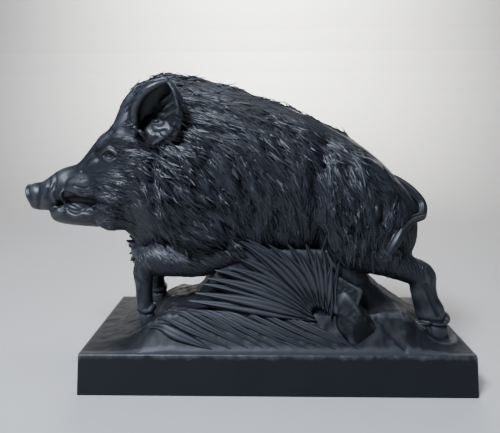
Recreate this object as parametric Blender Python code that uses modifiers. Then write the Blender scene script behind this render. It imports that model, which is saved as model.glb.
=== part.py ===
"""Wild boar running over a grassy bank, cast in iron in one piece with its rectangular plinth.

Metres, +Z up. The origin is the centre of the plinth's underside, and the snout points along -X.
The figure is free form, so its tables are in hundredths of the boar's own length: x along the plinth
from its centre, y outwards from the middle plane, and z up from the plinth's top.
"""

import bmesh
import bpy
import numpy as np
from mathutils import Matrix, Vector

# Driving dimensions
PLINTH_LENGTH = 0.200
PLINTH_DEPTH = 0.080
PLINTH_HEIGHT = 0.021
PLINTH_DRAFT = 0.0008
BOAR_LENGTH = 0.236

UNIT = BOAR_LENGTH / 100
SIDES = (-1, 1)
NAME = "cast_boar_on_plinth"

# How finely the form is worked, and how many triangles the finished solid keeps
SOFT_GRAIN = 0.0010
CRISP_GRAIN = 0.0008
SOFT_PASSES = 9
CRISP_PASSES = 1
TRIANGLES = 9300

# Skull and muzzle, then lower jaw: x, top, bottom, half width, share of height at the widest, roof, keel
MUZZLE = (
    (-58.6, 33.8, 28.9, 2.5, 0.50, 0.8, 0.8),
    (-56.5, 34.2, 28.5, 2.9, 0.50, 0.8, 0.8),
    (-54.5, 35.9, 28.7, 3.3, 0.45, 0.8, 0.8),
    (-52.0, 37.5, 29.3, 3.7, 0.40, 0.8, 0.7),
    (-50.0, 38.2, 29.9, 4.0, 0.38, 0.8, 0.7),
    (-47.0, 39.6, 29.9, 4.3, 0.38, 0.8, 0.8),
    (-44.0, 43.0, 29.4, 5.0, 0.38, 0.8, 0.9),
    (-41.2, 46.4, 27.5, 5.9, 0.45, 0.8, 0.9),
    (-39.5, 47.5, 25.5, 6.5, 0.48, 0.8, 1.0),
    (-38.0, 49.4, 24.5, 7.1, 0.48, 0.9, 1.0),
    (-36.4, 53.2, 23.5, 7.7, 0.46, 1.0, 1.0),
    (-34.9, 55.9, 22.5, 8.3, 0.44, 1.1, 1.0),
    (-32.0, 58.0, 21.5, 9.0, 0.42, 1.2, 1.0),
    (-28.0, 59.8, 20.5, 9.4, 0.42, 1.2, 1.0),
)
JAW = (
    (-54.2, 28.7, 26.9, 1.7, 0.5, 1.0, 1.0),
    (-53.2, 29.1, 25.3, 2.7, 0.5, 0.9, 1.0),
    (-51.5, 29.2, 24.4, 3.3, 0.5, 0.8, 0.9),
    (-49.0, 28.8, 24.0, 3.6, 0.5, 0.8, 0.9),
    (-46.0, 28.2, 23.7, 3.9, 0.5, 0.8, 0.9),
    (-43.0, 28.6, 23.4, 4.5, 0.5, 0.8, 0.9),
    (-40.0, 29.8, 23.8, 5.4, 0.5, 0.9, 1.0),
    (-38.0, 31.5, 23.9, 6.2, 0.5, 1.0, 1.0),
    (-36.0, 33.0, 22.6, 7.0, 0.5, 1.0, 1.0),
    (-33.0, 35.0, 20.5, 7.8, 0.5, 1.0, 1.0),
)
TRUNK = (
    (-35.6, 52.0, 24.0, 7.6, 0.50, 1.2, 1.0),
    (-33.0, 57.2, 20.5, 9.0, 0.48, 1.3, 1.0),
    (-30.0, 59.2, 18.6, 10.1, 0.46, 1.3, 1.0),
    (-24.7, 60.8, 17.5, 11.4, 0.45, 1.3, 0.9),
    (-20.0, 59.6, 17.2, 12.0, 0.45, 1.3, 0.9),
    (-15.0, 58.6, 17.2, 12.2, 0.45, 1.25, 0.9),
    (-9.0, 57.2, 17.5, 12.0, 0.45, 1.2, 0.9),
    (-4.6, 55.2, 17.6, 11.8, 0.45, 1.15, 0.9),
    (0.0, 53.7, 17.6, 11.6, 0.45, 1.1, 0.9),
    (4.0, 52.4, 17.5, 11.5, 0.45, 1.1, 0.9),
    (8.2, 50.4, 17.5, 11.4, 0.45, 1.05, 0.9),
    (12.5, 48.2, 17.8, 11.4, 0.45, 1.0, 0.9),
    (16.8, 46.0, 18.0, 11.4, 0.45, 1.0, 0.9),
    (21.1, 43.3, 18.2, 11.3, 0.45, 1.0, 0.9),
    (25.5, 39.7, 19.0, 10.6, 0.45, 1.0, 1.0),
    (28.4, 36.6, 20.0, 9.5, 0.45, 1.0, 1.0),
    (31.0, 33.6, 21.5, 7.6, 0.5, 1.0, 1.0),
    (33.0, 30.8, 23.5, 5.0, 0.5, 1.0, 1.0),
    (34.0, 29.0, 25.5, 2.4, 0.5, 1.0, 1.0),
)

# Muscles and fur masses on each side: centre, radii, forward lean in degrees
MASSES = (
    ((-18.0, 7.6, 36.0), (8.5, 5.0, 15.0), 12),  # shoulder
    ((-23.0, 7.6, 31.0), (5.2, 4.6, 12.0), -12),  # ruff
    ((-17.0, 7.8, 25.0), (7.5, 4.4, 7.5), 0),  # breast lock
    ((-32.0, 0.0, 24.0), (6.0, 6.5, 7.0), 0),  # throat
    ((-30.5, 0.0, 18.4), (4.4, 5.0, 3.0), 0),  # breast tuft
    ((18.5, 6.6, 28.0), (10.5, 5.6, 14.0), -8),  # haunch
    ((28.0, 4.6, 24.5), (5.0, 4.6, 8.0), 0),  # buttock
    ((-35.2, 5.4, 33.5), (6.0, 3.6, 7.5), 15),  # cheek
    ((-37.6, 4.5, 26.8), (4.4, 2.6, 3.0), 0),  # jaw corner
    ((-37.4, 4.6, 44.2), (3.8, 1.9, 2.2), 0),  # brow
    ((-43.0, 3.9, 34.6), (6.0, 1.6, 2.4), 8),  # cheekbone
    ((-52.6, 2.2, 33.0), (2.6, 1.9, 2.5), 0),  # nostril wing
    ((-45.0, 0.0, 29.4), (7.0, 2.4, 2.4), 0),  # tongue
)

# Legs: x, y, z and radius at each joint; then how far their section is flattened sideways
FORELEG = (
    (-8.0, 6.6, 22.0, 5.2),
    (-16.0, 6.8, 18.0, 4.1),
    (-23.0, 6.8, 17.4, 3.8),
    (-28.2, 6.8, 17.3, 3.6),
    (-30.0, 6.8, 14.8, 2.7),
    (-30.2, 6.8, 11.0, 2.05),
    (-30.2, 6.8, 8.2, 2.0),
    (-30.0, 6.8, 6.4, 2.15),
    (-29.7, 6.8, 4.6, 1.7),
)
HINDLEG_BACK = (
    (17.0, 6.8, 22.0, 6.6),
    (25.0, 6.7, 18.4, 4.7),
    (30.0, 6.6, 15.6, 3.3),
    (33.6, 6.6, 14.0, 3.1),
    (34.0, 6.6, 11.0, 3.0),
    (34.7, 6.6, 8.0, 3.0),
    (36.0, 6.6, 4.9, 3.4),
    (36.2, 6.6, 2.4, 2.8),
)
HINDLEG_FORWARD = (
    (14.0, 7.2, 22.0, 6.4),
    (19.0, 8.2, 17.2, 4.6),
    (22.8, 9.0, 13.4, 3.2),
    (21.4, 9.6, 10.2, 2.5),
    (19.4, 10.0, 7.8, 2.4),
    (18.0, 10.2, 5.8, 2.7),
)
LEG_FLATTENING = 0.82

# Toes: x, y, z of the sole's centre, height, radius at the sole, radius at the crown
FORE_TOES = ((-29.9, 5.9, 2.6, 3.6, 1.25, 1.5), (-29.5, 7.7, 2.6, 3.6, 1.25, 1.5))
HIND_TOES_BACK = ((34.6, 8.0, -0.6, 4.6, 1.9, 1.8), (37.0, 6.2, -0.6, 4.4, 2.1, 2.1))
HIND_TOES_FORWARD = ((16.4, 9.0, 2.6, 3.6, 1.8, 1.6), (17.0, 11.3, 2.6, 3.6, 1.8, 1.6))
DEWCLAWS = (
    ((-28.4, 6.8, 6.4), (0.9, 1.6, 1.1)),
    ((39.0, 6.6, 4.2), (1.1, 2.4, 1.2)),
)

# Tail over the near haunch, tusk, and the two rims of the ear from its root to its tip
TAIL = (
    (25.0, 0.0, 36.5, 1.2),
    (29.0, 0.6, 35.0, 1.3),
    (32.6, 1.2, 32.4, 1.3),
    (34.8, 2.0, 29.6, 1.25),
    (34.2, 4.2, 27.4, 1.1),
    (31.8, 6.6, 26.9, 1.0),
    (29.6, 8.6, 26.4, 0.95),
    (27.5, 9.8, 24.9, 0.95),
    (26.2, 10.6, 22.8, 1.15),
    (24.9, 11.2, 20.9, 0.9),
    (24.0, 11.4, 19.6, 0.3),
)
TUSK = (
    (-45.8, 3.7, 28.2, 0.6),
    (-47.4, 4.4, 28.3, 0.75),
    (-49.2, 4.9, 29.3, 0.7),
    (-50.0, 5.0, 31.0, 0.6),
    (-49.7, 4.9, 32.6, 0.4),
    (-49.0, 4.7, 33.9, 0.15),
)
EAR_FRONT_RIM = (
    (-29.6, 10.4, 45.6),
    (-31.0, 11.6, 50.0),
    (-29.8, 12.2, 54.2),
    (-26.8, 12.4, 57.0),
    (-22.8, 12.2, 58.1),
)
EAR_BACK_RIM = (
    (-25.6, 11.0, 43.9),
    (-21.8, 12.6, 46.4),
    (-20.4, 13.2, 50.4),
    (-20.8, 12.9, 54.6),
    (-22.6, 12.2, 57.7),
)
EAR_CUP = 4.4
EAR_THICKNESS = 1.0

NOSE_CENTRE = (-58.7, 0.0, 31.5)
NOSE_RADII = (0.95, 3.1, 3.05)
NOSE_TILT = -20
EYE_CENTRE = (-38.0, 5.9, 42.0)
EYE_RADIUS = 1.25

# Strokes of the carving tool seen from the side: points (x, z), half width, depth, least distance from the
# middle plane. A negative depth raises a bead.
STROKES = (
    (((-56.0, 34.6), (-55.5, 31.6), (-56.2, 28.8)), 0.6, 0.55, 1.0),  # behind the snout disc
    (((-53.4, 36.0), (-53.0, 34.0), (-53.8, 31.2)), 0.45, 0.30, 1.0),  # nose wrinkle
    (((-52.9, 28.9), (-50.6, 29.6), (-47.0, 30.1), (-43.5, 30.4), (-39.6, 30.3)), 0.85, 1.1, 1.0),  # mouth
    (((-50.2, 29.2), (-48.4, 27.7), (-46.5, 27.1), (-43.6, 28.6), (-39.2, 29.2)), 0.5, -0.45, 1.0),
    (((-51.2, 33.6), (-48.0, 33.2), (-44.5, 32.2), (-40.0, 31.9)), 0.6, -0.40, 1.0),  # upper lip
    (((-52.0, 33.8), (-51.7, 31.6), (-51.2, 30.2)), 0.5, -0.45, 1.0),  # lip raised by the tusk
    (((-50.0, 36.2), (-46.8, 36.3), (-43.4, 37.4), (-41.2, 39.4)), 0.9, 0.45, 1.0),  # hollow under the eye
    (((-38.9, 42.2), (-37.4, 42.0)), 1.5, 0.80, 2.0),  # eye socket
    (((-40.4, 42.0), (-39.4, 43.5), (-37.6, 43.8), (-35.9, 42.6)), 0.5, -0.50, 2.0),  # upper lid
    (((-40.0, 41.4), (-38.4, 40.5), (-36.4, 41.2)), 0.45, -0.35, 2.0),  # lower lid
    (((-41.6, 44.0), (-39.6, 45.8), (-36.6, 46.2), (-33.8, 45.4)), 0.9, -0.45, 2.0),  # brow
    (((-33.8, 37.0), (-32.0, 35.0), (-31.0, 32.0)), 1.3, 0.60, 3.0),  # hollow of the cheek
    (((-29.2, 43.0), (-28.4, 39.0), (-27.2, 34.5), (-26.6, 29.5), (-24.8, 24.5)), 1.0, 1.0, 4.0),  # at the ruff
    (((-20.0, 46.0), (-24.0, 43.8), (-28.6, 44.0)), 0.9, 0.60, 4.0),  # below the ear
    (((-15.6, 40.2), (-17.2, 37.4), (-17.0, 34.2), (-18.0, 31.8)), 1.1, 0.75, 4.0),  # curl in the shoulder
    (((-11.0, 34.0), (-12.4, 30.0), (-10.0, 26.0)), 1.4, 0.55, 4.0),
    (((-3.0, 33.5), (-5.0, 30.0), (-3.6, 26.4)), 1.5, 0.55, 4.0),
    (((-25.0, 22.2), (-20.5, 19.8), (-14.0, 20.6), (-9.0, 23.0)), 1.0, 0.9, 4.0),  # under the breast
    (((10.5, 45.0), (9.2, 38.0), (8.6, 30.0), (9.4, 22.0)), 2.4, 0.8, 3.0),  # flank
    (((14.6, 30.0), (15.6, 26.6), (17.8, 25.0)), 1.2, 0.65, 4.0),  # thigh
    (((22.0, 24.0), (20.6, 21.0), (21.6, 18.0)), 1.2, 0.5, 4.0),
)

# The bank under the boar: crest height along x, and the foot of the near and far slopes
CREST = (
    (-41.8, 0.0),
    (-37.0, 0.5),
    (-33.5, 1.3),
    (-30.0, 2.9),
    (-26.4, 5.6),
    (-22.7, 7.0),
    (-18.4, 8.4),
    (-15.4, 12.5),
    (-12.0, 19.0),
    (-6.0, 20.5),
    (15.0, 20.0),
    (19.5, 15.5),
    (23.5, 11.0),
    (27.6, 7.0),
    (31.0, 4.4),
    (35.0, 1.6),
    (38.0, 0.6),
    (41.6, 0.0),
)
WALL_TOP = {-1: 8.6, 1: 4.6}
WALL_FOOT = {-1: 11.8, 1: 8.2}
APRON_HEIGHT = 6.6
EDGE_LIP = 0.5
GROUND_STEP = 0.0012
GROUND_MARGIN = 0.0010
GROUND_SINK = 0.0060
EDGE_ROUNDING = 0.0012

# Grass fan: where the blades spring from, the sector they fill, and their lengths at each end
FAN_ROOT = (7.6, 5.8)
FAN_ROOT_SHIFT = (3.0, 1.2)
FAN_BLADES = {-1: 14, 1: 9}
FAN_ANGLES = (158, 78)
FAN_LENGTHS = (24.5, 15.6)
FAN_LEAN = 1.8
BLADE_HALF_WIDTH = 1.65
BLADE_KEEL = 1.35

# Reeds lying down the near slope: start x, y, end x, y, half width, keel above the ground
REEDS = (
    (-29.4, 10.4, -13.0, 16.4, 2.5, 1.5),
    (-26.4, 7.4, -7.2, 16.4, 1.5, 1.4),
    (-22.6, 6.6, -3.0, 16.4, 1.5, 1.4),
    (-19.0, 7.4, -5.0, 13.2, 1.1, 1.6),
    (-15.6, 8.8, 6.4, 15.8, 1.4, 1.5),
    (-9.0, 11.2, 12.6, 16.4, 1.7, 1.7),
    (-2.0, 14.2, 5.6, 16.4, 0.9, 1.0),
    (4.4, 13.4, 13.4, 16.4, 1.1, 1.1),
)
FAR_REEDS = REEDS[:6:2]

# Broad leaves beside the boulder: points x, y, z; half width; keel
BROAD_LEAVES = (
    (((12.2, 11.8, 5.0), (12.6, 11.0, 11.0), (13.2, 10.2, 16.4)), 0.7, 1.0),
    (((12.9, 12.0, 5.0), (14.0, 11.4, 10.5), (18.6, 9.6, 13.0)), 1.9, 1.4),
)
BOULDER_CENTRE = (17.0, 12.6, 5.2)
BOULDER_RADII = (3.1, 3.2, 7.8)
BOULDER_LEAN = -22

# Tuft of hair on the breast, between the fore legs
TUFT_ROOT = (-28.5, 19.0)
TUFT_ANGLES = (160, 238)
TUFT_LOCKS = 7
TUFT_LENGTH = 8.0
TUFT_HALF_WIDTH = 2.0

# Locks of fur over the flanks: rows from the back down, locks in a row, length, half width, height
LOCK_ROWS = 8
LOCKS_PER_ROW = 12
LOCK_LENGTH = 7.6
LOCK_HALF_WIDTH = 2.1
LOCK_HEIGHT = 0.95
LOCK_FIELD_X = (-27.0, 29.0)
LOCK_FIELD_DROP = (3.0, 36.0)
MANE_TUFTS = 15
MANE_SPAN = (-34.5, 14.0)


def place(x, y, z):
    """A point of the figure's tables as a point in metres."""
    return Vector((x * UNIT, y * UNIT, PLINTH_HEIGHT + z * UNIT))


def smooth_line(rows, count):
    """Rows of numbers resampled at count places along a Catmull-Rom curve through them."""
    p = np.array(rows, float)
    p = np.vstack([2 * p[0] - p[1], p, 2 * p[-1] - p[-2]])
    spans = len(rows) - 1
    t = np.linspace(0, spans, count)
    i = np.minimum(t.astype(int), spans - 1)
    f = (t - i)[:, None]
    a, b, c, d = p[i], p[i + 1], p[i + 2], p[i + 3]
    return 0.5 * (2 * b + (c - a) * f + (2 * a - 5 * b + 4 * c - d) * f**2 + (3 * b - a - 3 * c + d) * f**3)


def add_loft(bm, rings):
    """Closed skin over rings of equal numbers of points."""
    loops = [[bm.verts.new(p) for p in ring] for ring in rings]
    for near, far in zip(loops, loops[1:]):
        for i, vert in enumerate(near):
            j = (i + 1) % len(near)
            bm.faces.new((vert, near[j], far[j], far[i]))
    bm.faces.new(loops[0][::-1])
    bm.faces.new(loops[-1])


def add_carcass(bm, stations, count=56, around=36):
    """A body of upright sections, each with its own top, bottom, width and shape."""
    turn = np.linspace(0, 2 * np.pi, around, endpoint=False)
    rings = []
    for x, top, bottom, half, share, roof, keel in smooth_line(stations, count):
        wide = bottom + (top - bottom) * share
        ring = []
        for angle in turn:
            c, s = np.cos(angle), np.sin(angle)
            y = half * np.sign(c) * abs(c) ** (roof if s > 0 else keel)
            z = wide + s * (top - wide if s > 0 else wide - bottom)
            ring.append(place(x, y, z))
        rings.append(ring)
    add_loft(bm, rings)


def add_ellipsoid(bm, centre, radii, lean=0):
    """An ellipsoid whose top leans towards the tail by lean degrees."""
    size = Matrix.Diagonal((*(r * UNIT for r in radii), 1))
    turn = Matrix.Rotation(np.radians(lean), 4, "Y")
    matrix = Matrix.Translation(place(*centre)) @ turn @ size
    bmesh.ops.create_uvsphere(bm, u_segments=28, v_segments=18, radius=1, matrix=matrix)


def add_limb(bm, joints, side, flattening=1.0):
    """A tapering limb: a bevelled curve through the joints, flattened sideways about its own plane."""
    curve = bpy.data.curves.new("limb", "CURVE")
    curve.dimensions = "3D"
    curve.bevel_depth = UNIT
    curve.bevel_resolution = 4
    curve.use_fill_caps = True
    rows = smooth_line(joints, 8 * len(joints))
    spline = curve.splines.new("POLY")
    spline.points.add(len(rows) - 1)
    for point, (x, y, z, radius) in zip(spline.points, rows):
        point.co = (*place(x, side * y, z), 1)
        point.radius = max(radius, 0.05)
    limb = bpy.data.objects.new("limb", curve)
    bpy.context.scene.collection.objects.link(limb)
    bpy.context.view_layer.update()
    mesh = bpy.data.meshes.new_from_object(limb.evaluated_get(bpy.context.evaluated_depsgraph_get()))
    middle = side * UNIT * float(np.mean([row[1] for row in joints]))
    mesh.transform(
        Matrix.Translation((0, middle, 0))
        @ Matrix.Diagonal((1, flattening, 1, 1))
        @ Matrix.Translation((0, -middle, 0))
    )
    bm.from_mesh(mesh)
    bpy.data.objects.remove(limb)
    bpy.data.meshes.remove(mesh)


def add_toe(bm, x, y, z, height, sole, crown, side):
    """One half of a cloven hoof, a short flattened cone standing on its sole."""
    matrix = Matrix.Translation(place(x, side * y, z + height / 2)) @ Matrix.Diagonal((1.15, 0.72, 1, 1))
    bmesh.ops.create_cone(
        bm,
        cap_ends=True,
        segments=16,
        radius1=sole * UNIT,
        radius2=crown * UNIT,
        depth=height * UNIT,
        matrix=matrix,
    )


def add_leaf(bm, points, half_width, keel, outward, count=22, blunt=0.12):
    """A blade with a raised rib, widest in its lower third and running to a point.

    outward is the direction that the rib faces.
    """
    path = [place(*p) for p in smooth_line(points, count)]
    rings = []
    for i, point in enumerate(path):
        share = i / (count - 1)
        swell = blunt + (1 - blunt) * ramp(share, 0, 0.35)
        taper = min(1.0, 1.9 * (1 - share)) ** 0.8
        half = max(0.04, half_width * swell * taper) * UNIT
        rise = max(0.04, keel * (0.35 + 0.65 * taper) * min(swell + 0.2, 1.0)) * UNIT
        along = (path[min(i + 1, count - 1)] - path[max(i - 1, 0)]).normalized()
        across = along.cross(outward).normalized()
        out = across.cross(along).normalized()
        rings.append(
            (
                point + across * half,
                point + out * rise * 0.45 + across * half * 0.4,
                point + out * rise,
                point + out * rise * 0.3 - across * half * 0.5,
                point - across * half,
                point - out * rise,
            )
        )
    add_loft(bm, rings)


def add_ear(bm, side):
    """A cupped ear between its front and back rims, as thick as a casting needs."""
    rows = 18
    columns = 12
    front, back = smooth_line(EAR_FRONT_RIM, rows), smooth_line(EAR_BACK_RIM, rows)
    ear = bmesh.new()
    grid = []
    for i in range(rows):
        depth = EAR_CUP * abs(np.sin(np.pi * (0.24 + 0.76 * i / (rows - 1)))) ** 0.8
        line = []
        for j in range(columns):
            share = j / (columns - 1)
            x, y, z = front[i] * (1 - share) + back[i] * share
            inward = depth * abs(np.sin(np.pi * share**0.75)) ** 0.7
            line.append(ear.verts.new(place(x - inward * 0.15, side * (y - inward), z)))
        grid.append(line)
    for a, b in zip(grid, grid[1:]):
        for j in range(columns - 1):
            quad = (a[j], a[j + 1], b[j + 1], b[j])
            ear.faces.new(quad if side < 0 else quad[::-1])
    ear.normal_update()
    bmesh.ops.solidify(ear, geom=ear.faces[:], thickness=EAR_THICKNESS * UNIT)
    mesh = bpy.data.meshes.new("ear")
    ear.to_mesh(mesh)
    ear.free()
    bm.from_mesh(mesh)
    bpy.data.meshes.remove(mesh)


def ramp(value, start, end):
    """0 before start, 1 after end, and smooth between them."""
    t = np.clip((value - start) / (end - start), 0, 1)
    return t * t * (3 - 2 * t)


def ground_height(x, y, side=None):
    """Height of the bank above the plinth's top, all in metres."""
    u, v = x / UNIT, np.abs(y) / UNIT
    near = y < 0 if side is None else side < 0
    top = np.where(near, WALL_TOP[-1], WALL_TOP[1])
    foot = np.where(near, WALL_FOOT[-1], WALL_FOOT[1])
    edge = (PLINTH_DEPTH / 2 - GROUND_MARGIN) / UNIT
    crest_x, crest_z = np.array(CREST).T
    crest = np.interp(u, crest_x, crest_z)
    wall = crest * (1 - ramp(v, top, foot))
    share = np.clip((edge - v) / (edge - foot), 0, 1)
    spread = np.minimum(crest, APRON_HEIGHT) / APRON_HEIGHT
    apron = spread * (EDGE_LIP + (APRON_HEIGHT - EDGE_LIP) * share)
    return UNIT * np.maximum(wall, apron)


def on_bank(x, y, lift, side):
    """A point of the figure's tables that stands lift above the bank."""
    z = float(ground_height(x * UNIT, y * UNIT, side)) / UNIT
    return (x, side * y, z + lift)


def add_bank(bm):
    """The bank of earth, its foot sunk in the plinth just inside its edges."""
    half_x = PLINTH_LENGTH / 2 - GROUND_MARGIN
    half_y = PLINTH_DEPTH / 2 - GROUND_MARGIN
    xs = np.linspace(-half_x, half_x, int(round(PLINTH_LENGTH / GROUND_STEP)) + 1)
    ys = np.linspace(-half_y, half_y, int(round(PLINTH_DEPTH / GROUND_STEP)) + 1)
    gx, gy = np.meshgrid(xs, ys, indexing="ij")
    top = PLINTH_HEIGHT + ground_height(gx, gy) - GROUND_SINK * (ground_height(gx, gy) < 0.0002)
    foot = PLINTH_HEIGHT - GROUND_SINK * 1.5
    rows = []
    for i, x in enumerate(xs):
        upper = [(x, y, top[i, j]) for j, y in enumerate(ys)]
        rows.append([*upper, (x, ys[-1], foot), (x, ys[0], foot)])
    add_loft(bm, rows)


def add_grass_fan(bm, side):
    """Blades fanned out from one root over the steep side of the bank."""
    blades = FAN_BLADES[side]
    for i in range(blades):
        share = i / (blades - 1)
        angle = np.radians(FAN_ANGLES[0] + (FAN_ANGLES[1] - FAN_ANGLES[0]) * share)
        long = FAN_LENGTHS[0] + (FAN_LENGTHS[1] - FAN_LENGTHS[0]) * min(1, share * 1.5)
        long *= 1 + 0.05 * np.cos(i * 2.4)
        root_x = FAN_ROOT[0] + FAN_ROOT_SHIFT[0] * share
        root_z = FAN_ROOT[1] + FAN_ROOT_SHIFT[1] * share
        points = []
        for step in np.linspace(0, 1, 5):
            bend = angle + 0.22 * (1 - 2 * step) * (1 - share)
            x = root_x + long * step * np.cos(bend)
            z = root_z + long * step * np.sin(bend)
            y = WALL_FOOT[side] - FAN_LEAN * step + 0.5 * (i % 2)
            points.append((x, side * y, z))
        add_leaf(bm, points, BLADE_HALF_WIDTH, BLADE_KEEL, Vector((0, side, 0.1)))


def add_reeds(bm, reeds, side):
    """Reeds pressed down the slope by the boar's rush."""
    down_slope = Vector((0, side * 0.6, 0.8))
    for start_x, start_y, end_x, end_y, half_width, keel in reeds:
        points = []
        for share in np.linspace(0, 1, 6):
            x = start_x + (end_x - start_x) * share
            y = start_y + (end_y - start_y) * share
            points.append(on_bank(x, y, 0.35 * np.sin(np.pi * share), side))
        add_leaf(bm, points, half_width, keel, down_slope, blunt=0.35)


def add_boulder(bm, side):
    """Broad leaves and the boulder that leans at the end of the fan."""
    for leaf, half_width, keel in BROAD_LEAVES:
        points = [(x, side * y, z) for x, y, z in leaf]
        add_leaf(bm, points, half_width, keel, Vector((0, side, 0.3)))
    x, y, z = BOULDER_CENTRE
    add_ellipsoid(bm, (x, side * y, z), BOULDER_RADII, BOULDER_LEAN)


def add_breast_tuft(bm):
    """Locks of hair that hang forward between the fore legs."""
    for i in range(TUFT_LOCKS):
        angle = np.radians(TUFT_ANGLES[0] + (TUFT_ANGLES[1] - TUFT_ANGLES[0]) * i / (TUFT_LOCKS - 1))
        sway = 2.2 * np.sin(i * 2.2)
        points = []
        for step in np.linspace(0, 1, 4):
            x = TUFT_ROOT[0] + TUFT_LENGTH * step * np.cos(angle)
            z = TUFT_ROOT[1] + TUFT_LENGTH * step * np.sin(angle)
            points.append((x, sway * (1 - 0.4 * step), z))
        add_leaf(bm, points, TUFT_HALF_WIDTH, TUFT_HALF_WIDTH, Vector((0, -1, 0)), count=12, blunt=0.6)


def add_mane(bm):
    """Stiff tufts along the crest from the poll to the loins."""
    for i in range(MANE_TUFTS):
        x = MANE_SPAN[0] + (MANE_SPAN[1] - MANE_SPAN[0]) * i / (MANE_TUFTS - 1)
        sway = 0.7 * np.sin(i * 2.1)
        drops = ((-2.6, 0.4, 1.6), (0.4, 1.0, 0.1), (3.2, 0.6, 1.3))
        points = [(x + dx, sway * part, float(back_height(x + dx)) - drop) for dx, part, drop in drops]
        add_leaf(bm, points, 1.6, 0.8, Vector((0, 0, 1)), count=12, blunt=0.4)


def remeshed(bm, grain, passes, name):
    """One closed skin round everything in bm, at this grain, with its junctions eased."""
    bmesh.ops.recalc_face_normals(bm, faces=bm.faces)
    mesh = bpy.data.meshes.new(name)
    bm.to_mesh(mesh)
    bm.free()
    body = bpy.data.objects.new(name, mesh)
    bpy.context.scene.collection.objects.link(body)
    remesh = body.modifiers.new("one skin", "REMESH")
    remesh.mode = "VOXEL"
    remesh.voxel_size = grain
    smooth = body.modifiers.new("ease", "SMOOTH")
    smooth.factor = 0.5
    smooth.iterations = passes
    bpy.context.view_layer.update()
    skin = bpy.data.meshes.new_from_object(body.evaluated_get(bpy.context.evaluated_depsgraph_get()))
    bpy.data.objects.remove(body)
    bpy.data.meshes.remove(mesh)
    return skin


def read_surface(mesh):
    """Points in the figure's units, in metres, and the normals of a mesh."""
    points = np.empty(len(mesh.vertices) * 3)
    mesh.vertices.foreach_get("co", points)
    points = points.reshape(-1, 3)
    normals = np.array([n.vector for n in mesh.vertex_normals])
    return (points - (0, 0, PLINTH_HEIGHT)) / UNIT, points, normals


def distance_to_line(points, line):
    """Distance from each point to a line of several stretches, all flat."""
    best = np.full(len(points), np.inf)
    for a, b in zip(line, line[1:]):
        along = b - a
        t = np.clip((points - a) @ along / (along @ along), 0, 1)
        best = np.minimum(best, np.linalg.norm(points - a - t[:, None] * along, axis=1))
    return best


def carve_strokes(figure, normals, offset):
    """Adds the depth of each stroke to offset, on both sides of the figure."""
    facing = np.clip(np.abs(normals[:, 1]) * 1.8, 0, 1)
    side_view = figure[:, (0, 2)]
    for path, half_width, depth, clear in STROKES:
        line = smooth_line(path, 4 * len(path))
        near = np.abs(figure[:, 1]) > clear
        near &= (side_view > line.min(0) - 3 * half_width).all(1)
        near &= (side_view < line.max(0) + 3 * half_width).all(1)
        away = distance_to_line(side_view[near], line) / half_width
        offset[near] -= depth * np.exp(-(away**2)) * facing[near]


def back_height(x):
    """Height of the back above the plinth's top at x."""
    return np.interp(x, [row[0] for row in TRUNK], [row[1] for row in TRUNK])


def fur_slope(x, drop):
    """Angle of the fur below the horizontal, steeper down the flank and on the haunch, in radians."""
    return np.radians(16 + 1.7 * drop - 14 * ramp(x, -30, -18) + 16 * ramp(x, 6, 18))


def raise_locks(figure, normals, offset):
    """Adds overlapping locks of fur to offset: wide at the root, and pointed and proud at the tip."""
    facing = np.clip(np.abs(normals[:, 1]) * 1.8, 0, 1)
    highest = np.zeros(len(figure))
    for row in range(LOCK_ROWS):
        drop = LOCK_FIELD_DROP[0] + (LOCK_FIELD_DROP[1] - LOCK_FIELD_DROP[0]) * (row + 0.5) / LOCK_ROWS
        for column in range(LOCKS_PER_ROW):
            share = (column + 0.5 * (row % 2)) / LOCKS_PER_ROW
            x = LOCK_FIELD_X[0] + (LOCK_FIELD_X[1] - LOCK_FIELD_X[0]) * share
            z = back_height(x) - drop
            angle = fur_slope(x, drop) + 0.3 * np.sin(row * 1.7 + column * 2.3)
            near = np.abs(figure[:, 0] - x) < LOCK_LENGTH
            near &= np.abs(figure[:, 2] - z) < LOCK_LENGTH
            near &= (np.abs(figure[:, 1]) > 3) & (figure[:, 2] > 19)
            dx, dz = figure[near, 0] - x, figure[near, 2] - z
            along = np.clip((dx * np.cos(angle) - dz * np.sin(angle)) / LOCK_LENGTH + 0.5, 0, 1)
            across = (dx * np.sin(angle) + dz * np.cos(angle)) / LOCK_HALF_WIDTH
            width = np.clip(1 - along**1.7, 0, 1) ** 0.8 * (0.75 + 0.25 * ramp(along, 0, 0.3))
            crown = np.sqrt(np.clip(1 - (across / np.maximum(width, 0.01)) ** 2, 0, 1))
            rise = ramp(along, 0.0, 0.25) * (0.35 + 0.65 * along)
            highest[near] = np.maximum(highest[near], LOCK_HEIGHT * rise * crown)
    offset += highest * facing


def work_surface(mesh):
    """Carves the strokes and raises the locks on the flesh."""
    figure, points, normals = read_surface(mesh)
    offset = np.zeros(len(figure))
    carve_strokes(figure, normals, offset)
    raise_locks(figure, normals, offset)
    points += normals * (offset * UNIT)[:, None]
    mesh.vertices.foreach_set("co", points.ravel())
    mesh.update()


def soft_forms():
    """Flesh, fur masses and legs, blended into each other and carved."""
    bm = bmesh.new()
    for stations in (MUZZLE, JAW, TRUNK):
        add_carcass(bm, stations)
    for (x, y, z), radii, lean in MASSES:
        for side in SIDES if y else (1,):
            add_ellipsoid(bm, (x, side * y, z), radii, lean)
    for side in SIDES:
        add_limb(bm, FORELEG, side, LEG_FLATTENING)
    add_limb(bm, HINDLEG_BACK, -1, LEG_FLATTENING)
    add_limb(bm, HINDLEG_FORWARD, 1, LEG_FLATTENING)
    flesh = remeshed(bm, SOFT_GRAIN, SOFT_PASSES, "flesh")
    work_surface(flesh)
    return flesh


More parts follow.
